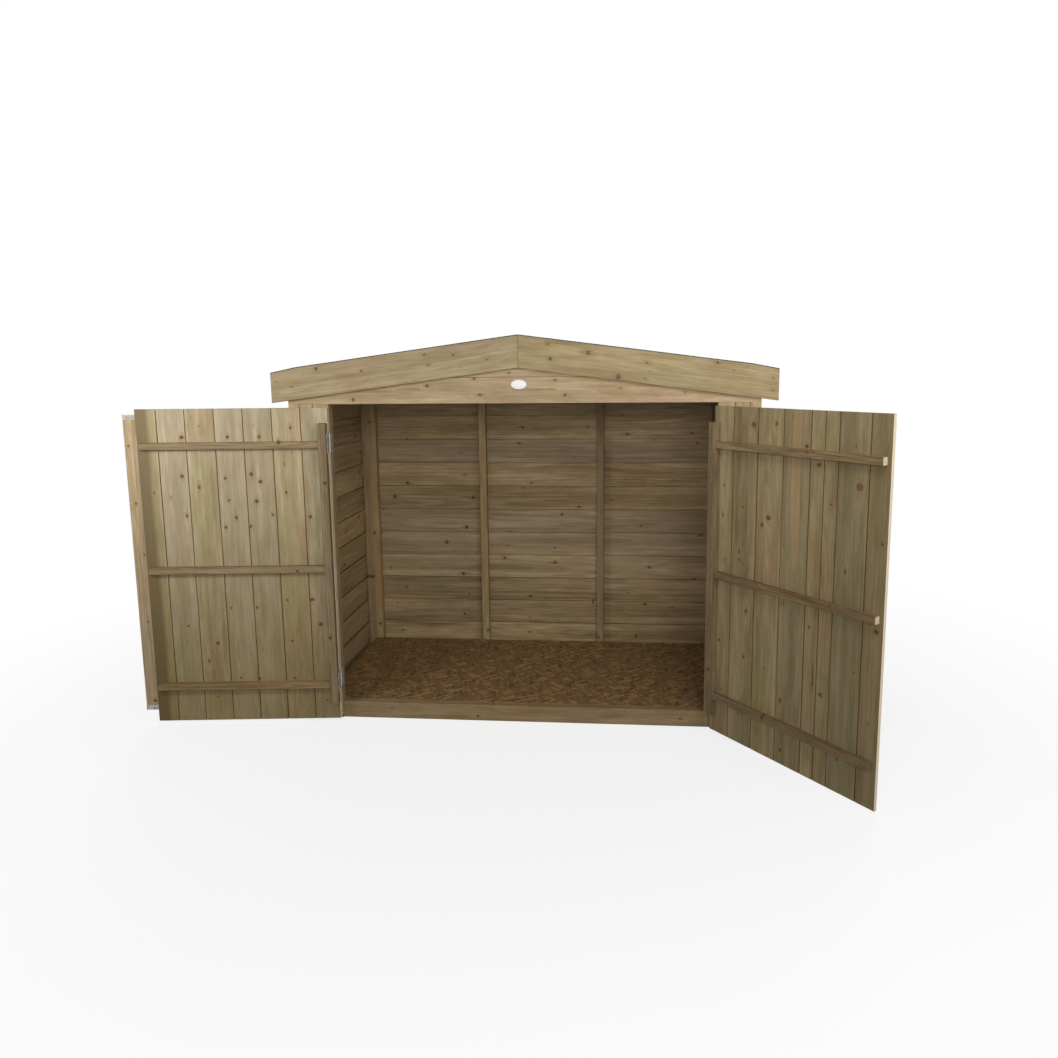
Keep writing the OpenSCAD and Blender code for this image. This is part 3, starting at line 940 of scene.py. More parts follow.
def dress(node):
    """Gives a CAD node, as it stands, the finish of its slot."""
    piece = frame["nodes"][node]
    for place in range(max(1, len(piece.material_slots))):
        if len(piece.material_slots) <= place:
            piece.data.materials.append(None)
        piece.material_slots[place].material = FINISH[SLOT_OF[node]]
    print(node, "is dressed as", SLOT_OF[node])


dress("floor_sheet")

# %% [markdown]
# ## Overlap cladding
# The side and back walls are thin boards, each lapped over the one below. One board is a flat block
# whose top edge is pushed back by its own thickness, so that the next can sit on it. We model one,
# copy it up the wall row by row, and saw the top rows on the slope.

# %% Cladding
LAP_PITCH, LAP_T, LAP_OVER = 119 * MM, 8 * MM, 16 * MM
LAP_START, LEAST_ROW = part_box("left_wall_cladding")[0].z, 12 * MM
# LAP_SHADE is shade and dirt painted on the edges of the laps.
LAP_SHADE, THIN_EASE = -0.6, 0.8 * MM


def lap_boards(low, high, outward, along, knots, light=0.0, warm=0.0):
    """Rows of overlap boards up a wall. low and high are the lowest board's corners."""
    first = block("lap_board", low, high)
    shift_points(first, -LAP_T * outward, lambda place: place.z > high[2] - MM)
    ease(first, THIN_EASE)
    eave = roof_z(FRAME_X, UNDER_DECK)
    top = roof_z(0, UNDER_DECK) if along == X else eave
    rows = []
    while low[2] + len(rows) * LAP_PITCH < top - LEAST_ROW:
        lift = Vector((0, 0, len(rows) * LAP_PITCH))
        board = copy_of(first, "lap_board", lift)
        if top_of(board) > eave:
            cut_under_deck(board)
        spots = some_knots(Vector(low) + lift, Vector(high) + lift, along, knots)
        rows.append(mark_wood(board, along, Z, spots, light=light + LOT.uniform(-0.10, 0.10),
                              warm=warm + LOT.uniform(-0.25, 0.25), edges=(LAP_SHADE, LAP_SHADE)))
    bpy.data.objects.remove(first)
    return rows


lap_high = LAP_START + LAP_PITCH + LAP_OVER
# The side walls' cladding is painted darker than the back wall's, as shade.
for side, wall in SIDES:
    hand_over(lap_boards((side * (FRAME_X + LAP_T), FRAME_Y0, LAP_START),
                         (side * (FRAME_X + 2 * LAP_T), BACK_Y, lap_high),
                         side * X, Y, 4, light=-0.13, warm=0.3), wall + "_wall_cladding")
hand_over(lap_boards((-FRAME_X, BACK_Y + LAP_T, LAP_START), (FRAME_X, BACK_Y + 2 * LAP_T, lap_high),
                     Y, X, 6), "back_wall_cladding")
STRIP_FOOT, BACK_STRIP_Y = 12 * MM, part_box("back_corner_strips")[1].y
hand_over([roof_timber("corner_strip", (side * FRAME_X, BACK_Y, STRIP_FOOT),
                       (side * FRONT_X, BACK_STRIP_Y, RIDGE_Z), Z, X, 3)
           for side in (-1, 1)], "back_corner_strips")

# %% [markdown]
# ## Tongued and grooved boards
# The front, the gable and the doors are matched boards: a tongue on one edge slides into a groove in
# the next, so no light comes through as the wood shrinks. The tongue is the edge face inset and
# extruded outwards, and the groove is the opposite face inset and pushed in. Their eased edges, with
# shade painted on them, make the fine dark line at each joint.

# %% Matched boards
TONGUE, GROOVE_ROOM = 5 * MM, 0.3 * MM
HALF_GAP, MATCHED_EASE = 0.4 * MM, 1.7 * MM
# SHADED is shade painted on the eased edges at the joints.
SHADED, OPEN_EDGE, DOORWAY_EDGE = -0.58, 1.15, 0.2


def push_face(piece, facing, inset, shift):
    """Insets the face that looks one way, and extrudes it."""
    start_edit(piece)
    pick(piece, "faces", lambda face: face.normal.dot(facing) > 0.99)
    bpy.ops.mesh.inset(thickness=inset)
    bpy.ops.mesh.extrude_region_move(TRANSFORM_OT_translate={"value": shift})
    end_edit()


def matched_board(name, low, high, towards, tongue=True, groove=True, eased=MATCHED_EASE):
    """A board with a tongue on the edge that faces towards, and a groove in the opposite edge."""
    piece = block(name, low, high)
    ease(piece, eased)
    third = BOARD_T / 3
    if tongue:
        push_face(piece, towards, third - eased, towards * TONGUE)
    if groove:
        push_face(piece, -towards, third - eased - GROOVE_ROOM, towards * (TONGUE + MM))
    return piece


FOOT_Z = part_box("left_front_boards")[0].z
CORNER_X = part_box("right_front_boards")[1].x
FRONT_JOINT = 832 * MM
for side, wall in SIDES:
    boards = []
    for outer, x0, x1 in ((False, POST_X, FRONT_JOINT - HALF_GAP),
                          (True, FRONT_JOINT + HALF_GAP, CORNER_X - HALF_GAP)):
        x0, x1 = sorted((side * x0, side * x1))
        board = matched_board("front_board", (x0, FACE_Y, FOOT_Z), (x1, FACE_Y + BOARD_T, HEAD_Z),
                              side * X, tongue=not outer, groove=outer)
        spots = some_knots((x0, FACE_Y, FOOT_Z), (x1, FACE_Y, HEAD_Z), Z, 5, 7 * MM)
        boards.append(mark_wood(board, Z, side * X, spots, light=LOT.uniform(-0.06, 0.04),
                                edges=(SHADED if outer else DOORWAY_EDGE, SHADED)))
    hand_over(boards, wall + "_front_boards")
hand_over([timber("corner_strip", (side * CORNER_X, FACE_Y, FOOT_Z),
                  (side * FRONT_X, FACE_Y + BOARD_T, HEAD_Z), Z, X, knots=3)
           for side in (-1, 1)], "front_corner_strips")

# %% [markdown]
# ## Gable
# Over the doorway matched boards lie flat: one whole board, and a wide one above it that is mostly
# behind the barge boards. They fit tightly, so their joint is a finer line than those between upright
# boards. Their ends and top are sawn to the slope. The knots are the ones in the photograph, measured
# on the real board: how far right of the middle, how high, and how big.

# %% Gable boards
GABLE_JOINT, GABLE_PITH = 1421 * MM, (0.055, 0.030)
# TIGHT_SHADE is shade painted on the edges at the gable's joint.
TIGHT_GAP, TIGHT_EDGE, TIGHT_SHADE = 0.3 * MM, 1.0 * MM, -0.4
KNOT_SHARE = 0.75
GABLE_KNOTS = [
    (-363, 1390, 6), (-175, 1416, 6), (-153, 1353, 7), (-663, 1337, 5), (142, 1409, 5), (180, 1351, 5),
    (-37, 1438, 4), (640, 1360, 4), (395, 1375, 3), (-420, 1377, -3.2), (112, 1373, -3.4),
    (-553, 1384, -2.0),
]


def on_face(x, z, size, y):
    """A knot given in millimetres on an upright face."""
    return Vector((x * MM, y, z * MM)), KNOT_SHARE * size * MM


gable = []
for z0, z1, is_lower in ((HEAD_Z, GABLE_JOINT, True), (GABLE_JOINT, RIDGE_Z, False)):
    board = matched_board("gable_board", (-FRONT_X, FACE_Y, z0 + (0 if is_lower else TIGHT_GAP)),
                          (FRONT_X, FACE_Y + BOARD_T, z1), Z, tongue=is_lower, groove=not is_lower,
                          eased=TIGHT_EDGE)
    cut_under_deck(board)
    knots = [on_face(*knot, FACE_Y) for knot in GABLE_KNOTS if z0 < knot[1] * MM < z1]
    edges = (EDGE_TONE, TIGHT_SHADE) if is_lower else (TIGHT_SHADE, EDGE_TONE)
    gable.append(mark_wood(board, X, Z, knots, pith=GABLE_PITH, light=0.02 if is_lower else -0.01,
                           edges=edges))
hand_over(gable, "front_gable")

# %% [markdown]
# ## Barge boards and deck
# A barge board runs down the slope with plumb ends, so it isn't a turned block but a sheared one: the
# far end of a level block is let down by the fall of the roof. Near the eave its upper edge is eased
# down a little more. The deck boards under the felt have the same form, only thin.

# %% Boards on the slope
EASED, EASED_FALL = 100 * MM, 7 * MM
EASED_X = ROOF_X - EASED
RIDGE_GAP = 0.4 * MM
DOWN_SLOPE = Vector((1, 0, -SLOPE)).normalized()


def sloped_board(name, side, end_x, y0, y1, top, thick, eased=EASED_EDGE):
    """A board on one slope from the ridge to end_x, its top a plumb depth below the roof line."""
    z1 = RIDGE_Z - top
    piece = block(name, (side * RIDGE_GAP, y0, z1 - thick), (side * end_x, y1, z1))
    score(piece, (side * EASED_X, 0, 0), X)
    shift_points(piece, (0, 0, -SLOPE * EASED_X), lambda place: abs(abs(place.x) - EASED_X) < MM)
    shift_points(piece, (0, 0, -SLOPE * end_x), lambda place: abs(place.x) > end_x - MM)
    drop = EASED_FALL * (end_x - EASED_X) / EASED
    edge = roof_z(end_x, top)
    shift_points(piece, (0, 0, -drop), lambda place: abs(place.x) > end_x - MM and place.z > edge - MM)
    ease(piece, eased)
    return piece


print("the eaves are eased down by %.0f mm" % (EASED_FALL / MM))

# %% [markdown]
# The knots of the front barge boards are the real ones too, measured in the same way as the gable's.
# The two nails at the foot of each board have stained the wood a little, so each counts as a small
# knot.

# %% Barge boards
BARGE_H, NAIL_STAIN = 125 * MM, 2.6 * MM
BARGE_KNOTS = {
    "front_left": [(-801, 1460, 6), (-620, 1450, 4), (-366, 1510, 6), (-352, 1471, 4), (-252, 1509, 4),
                   (-905, 1390, 4), (-120, 1490, 3)],
    "front_right": [(114, 1546, 4), (125, 1490, 6), (271, 1511, 10), (461, 1509, 5), (495, 1471, 5),
                    (385, 1419, 9), (484, 1411, 6), (760, 1470, 5), (820, 1440, 4)],
}
BARGE_PITH = {"front_left": (0.020, 0.034), "front_right": (-0.030, 0.028)}
BARGE_TONE = {-1: (0.06, -0.1), 1: (0.01, 0.08)}
BARGE_NAILS = ((967 * MM, 47 * MM), (967 * MM, 93 * MM))
BAND_LOW, BAND_HIGH = 100 * MM, 20 * MM
for corner in ("front_left", "front_right", "back_left", "back_right"):
    node = corner + "_barge_board"
    low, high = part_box(node)
    side = -1 if "left" in corner else 1
    board = sloped_board("barge", side, ROOF_X, low.y, high.y, FELT_T, BARGE_H)
    run = Vector((DOWN_SLOPE.x * side, 0, DOWN_SLOPE.z))
    square_to_run = Vector((side * SLOPE, 0, 1))
    if corner in BARGE_KNOTS:
        knots = [on_face(*knot, low.y) for knot in BARGE_KNOTS[corner]]
        knots += [(Vector((side * x, low.y, roof_z(x, depth))), NAIL_STAIN) for x, depth in BARGE_NAILS]
    else:
        knots = some_knots((0, low.y, high.z - BAND_LOW), (side * ROOF_X, high.y, high.z - BAND_HIGH), X, 7)
        knots = [(place - Z * SLOPE * abs(place.x), size) for place, size in knots]
    light, warm = BARGE_TONE[side]
    mark_wood(board, run, square_to_run, knots, pith=BARGE_PITH.get(corner), light=light, warm=warm)
    hand_over([board], node)

# %% [markdown]
# The deck boards of a slope are alike in form, so one is made and copied from the front to the back.
# Each copy is marked as wood of its own.

# %% Deck boards
DECK_BOARDS = 8
deck_low, deck_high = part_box("right_roof_deck")
deck_w = (deck_high.y - deck_low.y) / DECK_BOARDS
for side, wall in SIDES:
    first = sloped_board("deck_board", side, deck_high.x, deck_low.y + HALF_GAP,
                         deck_low.y + deck_w - HALF_GAP, FELT_T, DECK_T, THIN_EASE)
    boards = []
    for row in range(DECK_BOARDS):
        board = copy_of(first, "deck_board", (0, row * deck_w, 0))
        y = deck_low.y + row * deck_w
        spots = some_knots((0, y, RIDGE_Z), (side * deck_high.x, y + deck_w, RIDGE_Z), X, 5)
        boards.append(mark_wood(board, X, Y, spots, light=LOT.uniform(-0.08, 0.08)))
    bpy.data.objects.remove(first)
    hand_over(boards, wall + "_roof_deck")

# %% [markdown]
# ## Felt
# The felt is a limp sheet, nailed over the deck and the barge boards and turned down over the eaves
# boards. A thin sheet is easiest from a grid: it is bent to the slope, its eave edge is extruded down
# as a lip, a Displace modifier gives the slight unevenness of a sheet laid by hand, and Solidify
# gives it its three millimetres.

# %% Felt
FELT_ROWS, LIP_H = 26, 28 * MM
CLOUD_SIZE, SINK, NEAR = 0.22, 1.6 * MM, 0.1 * MM


def felt_sheet(side, node):
    """One slope of felt, with its lip over the eaves board."""
    low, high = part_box(node)
    alone()
    bpy.ops.mesh.primitive_grid_add(x_subdivisions=FELT_ROWS, y_subdivisions=FELT_ROWS, size=1,
                                    location=((low.x + high.x) / 2, (low.y + high.y) / 2, RIDGE_Z))
    sheet = bpy.context.object
    sheet.scale = (high.x - low.x, high.y - low.y, 1)
    settle(sheet)
    score(sheet, (side * EASED_X, 0, 0), X)
    for y in (FACE_Y, ROOF_BACK_Y):
        score(sheet, (0, y, 0), Y)
    for point in sheet.data.vertices:
        past = max(0.0, abs(point.co.x) - EASED_X) / EASED
        point.co.z = roof_z(point.co.x) - EASED_FALL * past
    start_edit(sheet)
    pick(sheet, "verts", lambda point: abs(point.co.x) > ROOF_X - NEAR
         and FACE_Y - NEAR < point.co.y < ROOF_BACK_Y + NEAR)
    bpy.ops.mesh.extrude_region_move(TRANSFORM_OT_translate={"value": (0, 0, EASED_FALL - LIP_H)})
    bpy.ops.mesh.select_all(action="SELECT")
    bpy.ops.mesh.normals_make_consistent(inside=False)
    end_edit()
    if sum(face.normal.z for face in sheet.data.polygons) < 0:
        sheet.data.flip_normals()
    return sheet


def lay_unevenly(sheet):
    """Lets the sheet sink a little here and there, and gives it its thickness."""
    clouds = bpy.data.textures.new("unevenness", "CLOUDS")
    clouds.noise_scale = CLOUD_SIZE
    uneven = sheet.modifiers.new("uneven", "DISPLACE")
    uneven.texture = clouds
    uneven.direction = "Z"
    uneven.mid_level = 1.0
    uneven.strength = SINK
    thick = sheet.modifiers.new("thick", "SOLIDIFY")
    thick.thickness = FELT_T
    thick.offset = -1
    alone(sheet)
    for modifier in list(sheet.modifiers):
        bpy.ops.object.modifier_apply(modifier=modifier.name)


for side, wall in SIDES:
    sheet = felt_sheet(side, wall + "_roof_felt")
    lay_unevenly(sheet)
    hand_over([sheet], wall + "_roof_felt", wall + "_roof_felt_sheet")

# %% [markdown]
# ## Doors
# Each door is seven matched boards on three ledges, with a stile down the hinge edge. It is easiest to
# make a door closed, square to the front, and then to swing it open about its hinge pins, as the real
# one moves. The joints and knots are the real ones, measured from the free edge and from the ground.

# %% Measures of the doors
DOOR_FREE, DOOR_W = 7 * MM, 756 * MM
DOOR_FOOT, DOOR_TOP = 12 * MM, 1308 * MM
LEFT_JOINTS = (84, 195, 310, 423, 537, 651)
RIGHT_JOINTS = (76, 193, 305, 421, 537, 656)
SHAKE = 248
DOOR_KNOT_SHARE = 0.62
LEFT_KNOTS = [
    (975, 55, 4), (1195, 180, 9), (1040, 170, 8), (880, 178, 8), (955, 120, 4), (420, 150, 5), (175, 170, 5),
    (995, 235, 9), (345, 265, 8), (270, 225, 9), (115, 250, 6), (1240, 250, 4),
    (1195, 360, 8), (1030, 340, 6), (940, 350, 6), (870, 375, 8), (830, 330, 9), (495, 330, 5), (195, 350, 6),
    (1195, 485, 10), (1045, 445, 9), (1015, 480, 9), (935, 460, 9), (835, 427, 11), (495, 435, 8),
    (320, 450, 3), (190, 425, 8), (1240, 465, 4),
    (1180, 560, 5), (1085, 580, 5), (970, 580, 6), (880, 520, 7), (525, 560, 6), (350, 570, 6), (190, 572, 6),
    (1230, 610, 8), (870, 670, 8), (525, 660, 9), (420, 690, 10), (280, 725, 4), (90, 700, 5),
]
RIGHT_KNOTS = [
    (615, 26, 9), (900, 20, 5), (300, 40, 4),
    (1070, 110, 15), (785, 150, 8), (455, 100, 6), (1200, 130, 4), (130, 150, 5),
    (1127, 270, 8), (1000, 215, 5), (335, 228, 10), (560, 285, 6), (150, 260, 6), (1185, 322, 8),
    (620, 400, 5), (390, 262, -4.2), (255, 400, 9), (67, 392, 8), (1255, 455, 10), (915, 480, 11),
    (885, 510, 8), (640, 500, 6), (350, 480, 6),
    (1245, 560, 12), (940, 602, 6), (765, 616, 9), (735, 616, 6), (545, 575, 9), (365, 582, 9), (130, 600, 5),
    (895, 703, 7), (1010, 700, 6), (395, 710, 7), (720, 690, 6), (200, 690, 5),
]
print(len(LEFT_KNOTS), "and", len(RIGHT_KNOTS), "knots")

# %% [markdown]
# Three small tools give a point on a closed door, the corners of a block on it, and the swing that
# takes a finished piece to where the door stands open.


# %% Swing a door open
def place_on_door(side, from_free_edge, height):
    """A point on a closed door's outer face, from millimetres."""
    return Vector((side * (DOOR_FREE + from_free_edge * MM), FACE_Y, height * MM))


def door_span(side, x0, x1, y0, y1, z0, z1):
    """Corners of a block on a closed door; x runs from the free edge, y from the outer face."""
    return (side * (DOOR_FREE + x0), FACE_Y + y0, z0), (side * (DOOR_FREE + x1), FACE_Y + y1, z1)


def swing(piece, body):
    """Turns what was made on the closed door about its hinge pins, to where it stands open."""
    joint = JOINT_OF[body]
    pin = Matrix.Translation(joint["pos_m"])
    turn = Matrix.Rotation(math.radians(-joint["range_deg"][0]), 4, Vector(joint["axis"]))
    piece.matrix_world = pin @ turn @ pin.inverted()
    return settle(piece)


for body, joint in JOINT_OF.items():
    print(body, "stands %.1f degrees open" % -joint["range_deg"][0])

# %% [markdown]
# A board's look follows the photograph too: how light, how warm or green, and whether darker heartwood
# shows. The first board of the left door has a broad dark band of it beside the free edge, and one
# board of the right door a warm stripe down its middle. Another board of the right door is split from
# end to end by a shake, so it is made as two boards of one look.

# %% Door boards, from the free edge
HEART_BAND = ((0.040, 0.012), 38 * MM)
MIDDLE_STRIPE = ((0.006, 0.010), -20 * MM)
LOOK = ("light", "warm", "pith", "heart")
LEFT_LOOKS = [(0.05, 0.22, *HEART_BAND), (0.21, -0.22), (0.17, 0.08), (0.14, -0.2), (0.14, -0.15),
              (0.09, 0.12), (0.08, -0.05)]
RIGHT_LOOKS = [(-0.24, 0.15), (-0.04, -0.25), (0.11, -0.03), (0.11, -0.03), (-0.08, -0.15, *MIDDLE_STRIPE),
               (0.16, -0.03), (-0.01, 0.0), (0.12, -0.05)]


def door_boards(side, body, joints, knots, looks):
    """The matched boards of one door, swung open."""
    edges = [0, *[joint * MM for joint in joints], DOOR_W]
    last = len(looks) - 1
    boards = []
    for number, (x0, x1) in enumerate(zip(edges, edges[1:])):
        x0 += HALF_GAP if number else 0
        x1 -= HALF_GAP if number < last else 0
        low, high = door_span(side, x0, x1, 0, BOARD_T, DOOR_FOOT, DOOR_TOP)
        board = matched_board("door_board", low, high, side * X, tongue=number < last, groove=number > 0)
        mine = [(place_on_door(side, across, height), size * DOOR_KNOT_SHARE * MM)
                for height, across, size in knots if x0 < across * MM < x1]
        tones = (SHADED if number else OPEN_EDGE, SHADED if number < last else OPEN_EDGE)
        mark_wood(board, Z, side * X, mine, edges=tones, **dict(zip(LOOK, looks[number])))
        boards.append(swing(board, body))
    return boards


hand_over(door_boards(-1, "left_door", LEFT_JOINTS, LEFT_KNOTS, LEFT_LOOKS), "left_door_boards")
hand_over(door_boards(1, "right_door", sorted(RIGHT_JOINTS + (SHAKE,)), RIGHT_KNOTS, RIGHT_LOOKS),
          "right_door_boards")

# %% [markdown]
# ## Ledges and stiles
# Three ledges cross the boards and stop at the stile, which carries the hinges. On the right door the
# ends of the upper two were freshly cut, so they show pale pink wood. They are plain timbers, made on
# the closed door and swung open with it.

# %% Ledges and stiles
LEDGE_Z = (166, 657, 1162)
LEDGE_H, LEDGE_T, LEDGE_SHORT, LEDGE_EASE = 28 * MM, 24 * MM, 16 * MM, 1.5 * MM
STILE_W, STILE_T, STILE_Z = 32 * MM, 32 * MM, (87 * MM, 1247 * MM)
LEDGE_LIGHT, STILE_LIGHT = {-1: -0.02, 1: -0.20}, {-1: -0.20, 1: -0.11}
FRESH_END, OLD_END = (0.95, -0.4), (-0.05, 0.1)

for side, wall in SIDES:
    door = wall + "_door"
    ledges = []
    for z in LEDGE_Z:
        low, high = door_span(side, LEDGE_SHORT, DOOR_W - STILE_W, BOARD_T, BOARD_T + LEDGE_T,
                              z * MM - LEDGE_H / 2, z * MM + LEDGE_H / 2)
        is_fresh = side > 0 and z > LEDGE_Z[0]
        ledge = timber("ledge", low, high, X, Z, LEDGE_EASE, knots=1, light=LEDGE_LIGHT[side],
                       ends=FRESH_END if is_fresh else OLD_END)
        ledges.append(swing(ledge, door))
    hand_over(ledges, door + "_ledges")
    low, high = door_span(side, DOOR_W - STILE_W, DOOR_W, BOARD_T, BOARD_T + STILE_T, *STILE_Z)
    stile = timber("stile", low, high, Z, X, LEDGE_EASE, knots=2, light=STILE_LIGHT[side])
    hand_over([swing(stile, door)], door + "_stile")

# %% [markdown]
# ## The cover strip
# The cover strip closes the gap between the doors. It is screwed to the left door and rebated where it
# passes over the right one. The rebate leaves a foot, which is extruded from the strip's back.

# %% Cover strip
STRIP_OVER, STRIP_FIXED, STRIP_T, STRIP_REBATE = 57 * MM, 14 * MM, 18 * MM, 7 * MM
STRIP_Z = (56 * MM, 1286 * MM)
low, high = door_span(-1, -STRIP_OVER, STRIP_FIXED, -STRIP_T, -STRIP_REBATE, *STRIP_Z)
strip = block("strip", low, high)
score(strip, (-DOOR_FREE, 0, 0), X)
start_edit(strip)
pick(strip, "faces", lambda face: face.normal.y > 0.9 and face.calc_center_median().x < -DOOR_FREE)
bpy.ops.mesh.extrude_region_move(TRANSFORM_OT_translate={"value": (0, STRIP_REBATE, 0)})
end_edit()
ease(strip, EASED_EDGE)
mark_wood(strip, Z, X, some_knots(low, high, Z, 5, 6 * MM), light=0.52, warm=-0.25)
hand_over([swing(strip, "left_door")], "cover_strip")

# %% [markdown]
# ## Hinges, screws and nails
# The hinge leaves with their rolled knuckles and pins, and the folded caps on the strip, are exact in
# the drawing already, so they only take their finish.

# %% Steel from the drawing
for node in ("post_hinge_leaves", "left_door_hinge_leaves", "right_door_hinge_leaves", "cover_strip_caps"):
    dress(node)

# %% [markdown]
# Screws, nails and clouts show only their heads. A head is a short cylinder of ten sides with its top
# inset, and the inset face is sunk for a screw's recess or raised for a nail's dome. One head of each
# kind is modelled, and copied to every place in a list, turned the way it faces there.

# %% A screw head and a nail head
HEAD_SIDES, HEAD_RIM = 10, 0.4


def round_head(name, radius, height, recess):
    """A head lying on z = 0. A recess below zero sinks its middle, one above zero domes it."""
    alone()
    bpy.ops.mesh.primitive_cylinder_add(vertices=HEAD_SIDES, radius=radius, depth=2 * height,
                                        location=(0, 0, 0))
    head = bpy.context.object
    head.name = name
    start_edit(head)
    pick(head, "faces", lambda face: face.normal.z > 0.9)
    bpy.ops.mesh.inset(thickness=radius * HEAD_RIM)
    bpy.ops.transform.translate(value=(0, 0, recess))
    end_edit()
    return head


def drive(name, head, places, body, finish=NAIL_FINISH):
    """Copies a head to each place, facing each direction, and joins them to one piece."""
    heads = []
    for place, facing in places:
        twin = copy_of(head, name, (0, 0, 0))
        turn = facing.to_track_quat("Z", "Y").to_matrix().to_4x4()
        twin.data.transform(Matrix.Translation(place) @ turn)
        heads.append(twin)
    made = joined(heads, name, finish)
    print(name, len(places), "heads")
    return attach(made, body)


screw_head = round_head("screw_head", 3.6 * MM, 0.5 * MM, -0.4 * MM)
nail_head = round_head("nail_head", 2.2 * MM, 0.5 * MM, 0.4 * MM)
clout_head = round_head("clout_head", 4.5 * MM, 0.7 * MM, 0.2 * MM)
print("a head has", len(nail_head.data.polygons), "faces")

# %% [markdown]
# Nails sit where the boards cross what carries them: cladding on the studs, front boards on the rails,
# barge boards at their ends. Each list below is worked out from those crossings, so no nail ends in
# the air.

# %% Nails of the store
LAP_NAIL_UP, LAP_NAIL_IN = 22 * MM, 18 * MM
LAP_NAIL_OUT = LAP_T * (2 - LAP_NAIL_UP / (LAP_PITCH + LAP_OVER))
LAP_NAIL_ROWS = int((roof_z(FRAME_X, UNDER_DECK) - LAP_START) / LAP_PITCH)
FRONT_NAIL_X = (POST_X + 16 * MM, FRONT_JOINT - 20 * MM, FRONT_JOINT + 20 * MM, CORNER_X + 20 * MM)
FRONT_NAIL_Z = (34 * MM, HEAD_Z - 20 * MM)
GABLE_NAIL_X, GABLE_NAIL_Z = (200 * MM, 480 * MM, 700 * MM), HEAD_Z + 19 * MM
RIDGE_NAIL_X, RIDGE_NAIL_DEPTH = {-1: 68 * MM, 1: 111 * MM}, 22 * MM
LONE_NAIL_X, LONE_NAIL_DEPTH = 41 * MM, 139 * MM
STRIP_NAIL_X, STRIP_NAIL_Z = FRAME_X + 9 * MM, (60 * MM, 360 * MM, 660 * MM, 960 * MM, 1260 * MM)
BARGE_FRONT, BARGE_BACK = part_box("front_left_barge_board")[0].y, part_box("back_left_barge_board")[1].y

nails = [(Vector((-LONE_NAIL_X, FACE_Y, roof_z(LONE_NAIL_X, LONE_NAIL_DEPTH))), -Y)]
for row in range(LAP_NAIL_ROWS):
    z = LAP_START + row * LAP_PITCH + LAP_NAIL_UP
    for side in (-1, 1):
        for y in (FRAME_Y0 + LAP_NAIL_IN, BACK_Y - LAP_NAIL_IN):
            nails.append((Vector((side * (FRAME_X + LAP_NAIL_OUT), y, z)), side * X))
    for x in (HALF_STUD - INNER_X, -STUD_X, STUD_X, INNER_X - HALF_STUD):
        nails.append((Vector((x, BACK_Y + LAP_NAIL_OUT, z)), Y))
for side in (-1, 1):
    nails += [(Vector((side * x, FACE_Y, z)), -Y) for x in FRONT_NAIL_X for z in FRONT_NAIL_Z]
    nails += [(Vector((side * x, FACE_Y, GABLE_NAIL_Z)), -Y) for x in GABLE_NAIL_X]
    for x, depth in ((RIDGE_NAIL_X[side], RIDGE_NAIL_DEPTH), *BARGE_NAILS):
        for y, facing in ((BARGE_FRONT, -Y), (BARGE_BACK, Y)):
            nails.append((Vector((side * x, y, roof_z(x, depth))), facing))
    nails += [(Vector((side * STRIP_NAIL_X, BACK_STRIP_Y, z)), Y) for z in STRIP_NAIL_Z]
drive("store_nails", nail_head, nails, "shed")

# %% [markdown]
# Clouts are short nails with wide heads. They hold the felt down on the barge boards at the front and
# the back, and through its lip on the eaves boards. Their heads follow the slope.

# %% Clouts of the felt
CLOUTS_IN_ROW, CLOUT_IN = 11, 9 * MM
SLOPE_START, SLOPE_PITCH, SLOPE_SINK = 40 * MM, 90 * MM, 1.2 * MM
LIP_START, LIP_PITCH, LIP_SINK = 30 * MM, 84 * MM, 0.4 * MM

clouts = []
for side in (-1, 1):
    for step in range(CLOUTS_IN_ROW):
        x = SLOPE_START + step * SLOPE_PITCH
        z = roof_z(x) - EASED_FALL * max(0.0, x - EASED_X) / EASED - SLOPE_SINK
        for y in (FACE_Y - CLOUT_IN, ROOF_BACK_Y + CLOUT_IN):
            clouts.append((Vector((side * x, y, z)), Vector((side * SLOPE, 0, 1))))
        y = FACE_Y + LIP_START + step * LIP_PITCH
        clouts.append((Vector((side * (ROOF_X - LIP_SINK), y, roof_z(ROOF_X) - LIP_H + CLOUT_IN)), side * X))
drive("felt_clouts", clout_head, clouts, "shed", FINISH["galvanised_steel"])

# %% [markdown]
# On the doors, each board has two nails at every ledge, one near each of its edges, and the stile has
# its own. Three screws hold each hinge leaf, the middle one nearer to the pin. All are driven into the
# closed door and swung open with it.

# %% Nails and screws of the doors
BOARD_NAIL_IN, STILE_NAIL_Z = 22, (120, 420, 900, 1215)
HINGE_Z, SCREW_PITCH = (180, 1165), 28
SCREW_DEEP, MIDDLE_SCREW_DEEP = 20 * MM, 12 * MM
DOOR_SCREW_X, POST_SCREW_X = POST_X - 3.2 * MM, POST_X - 1.8 * MM

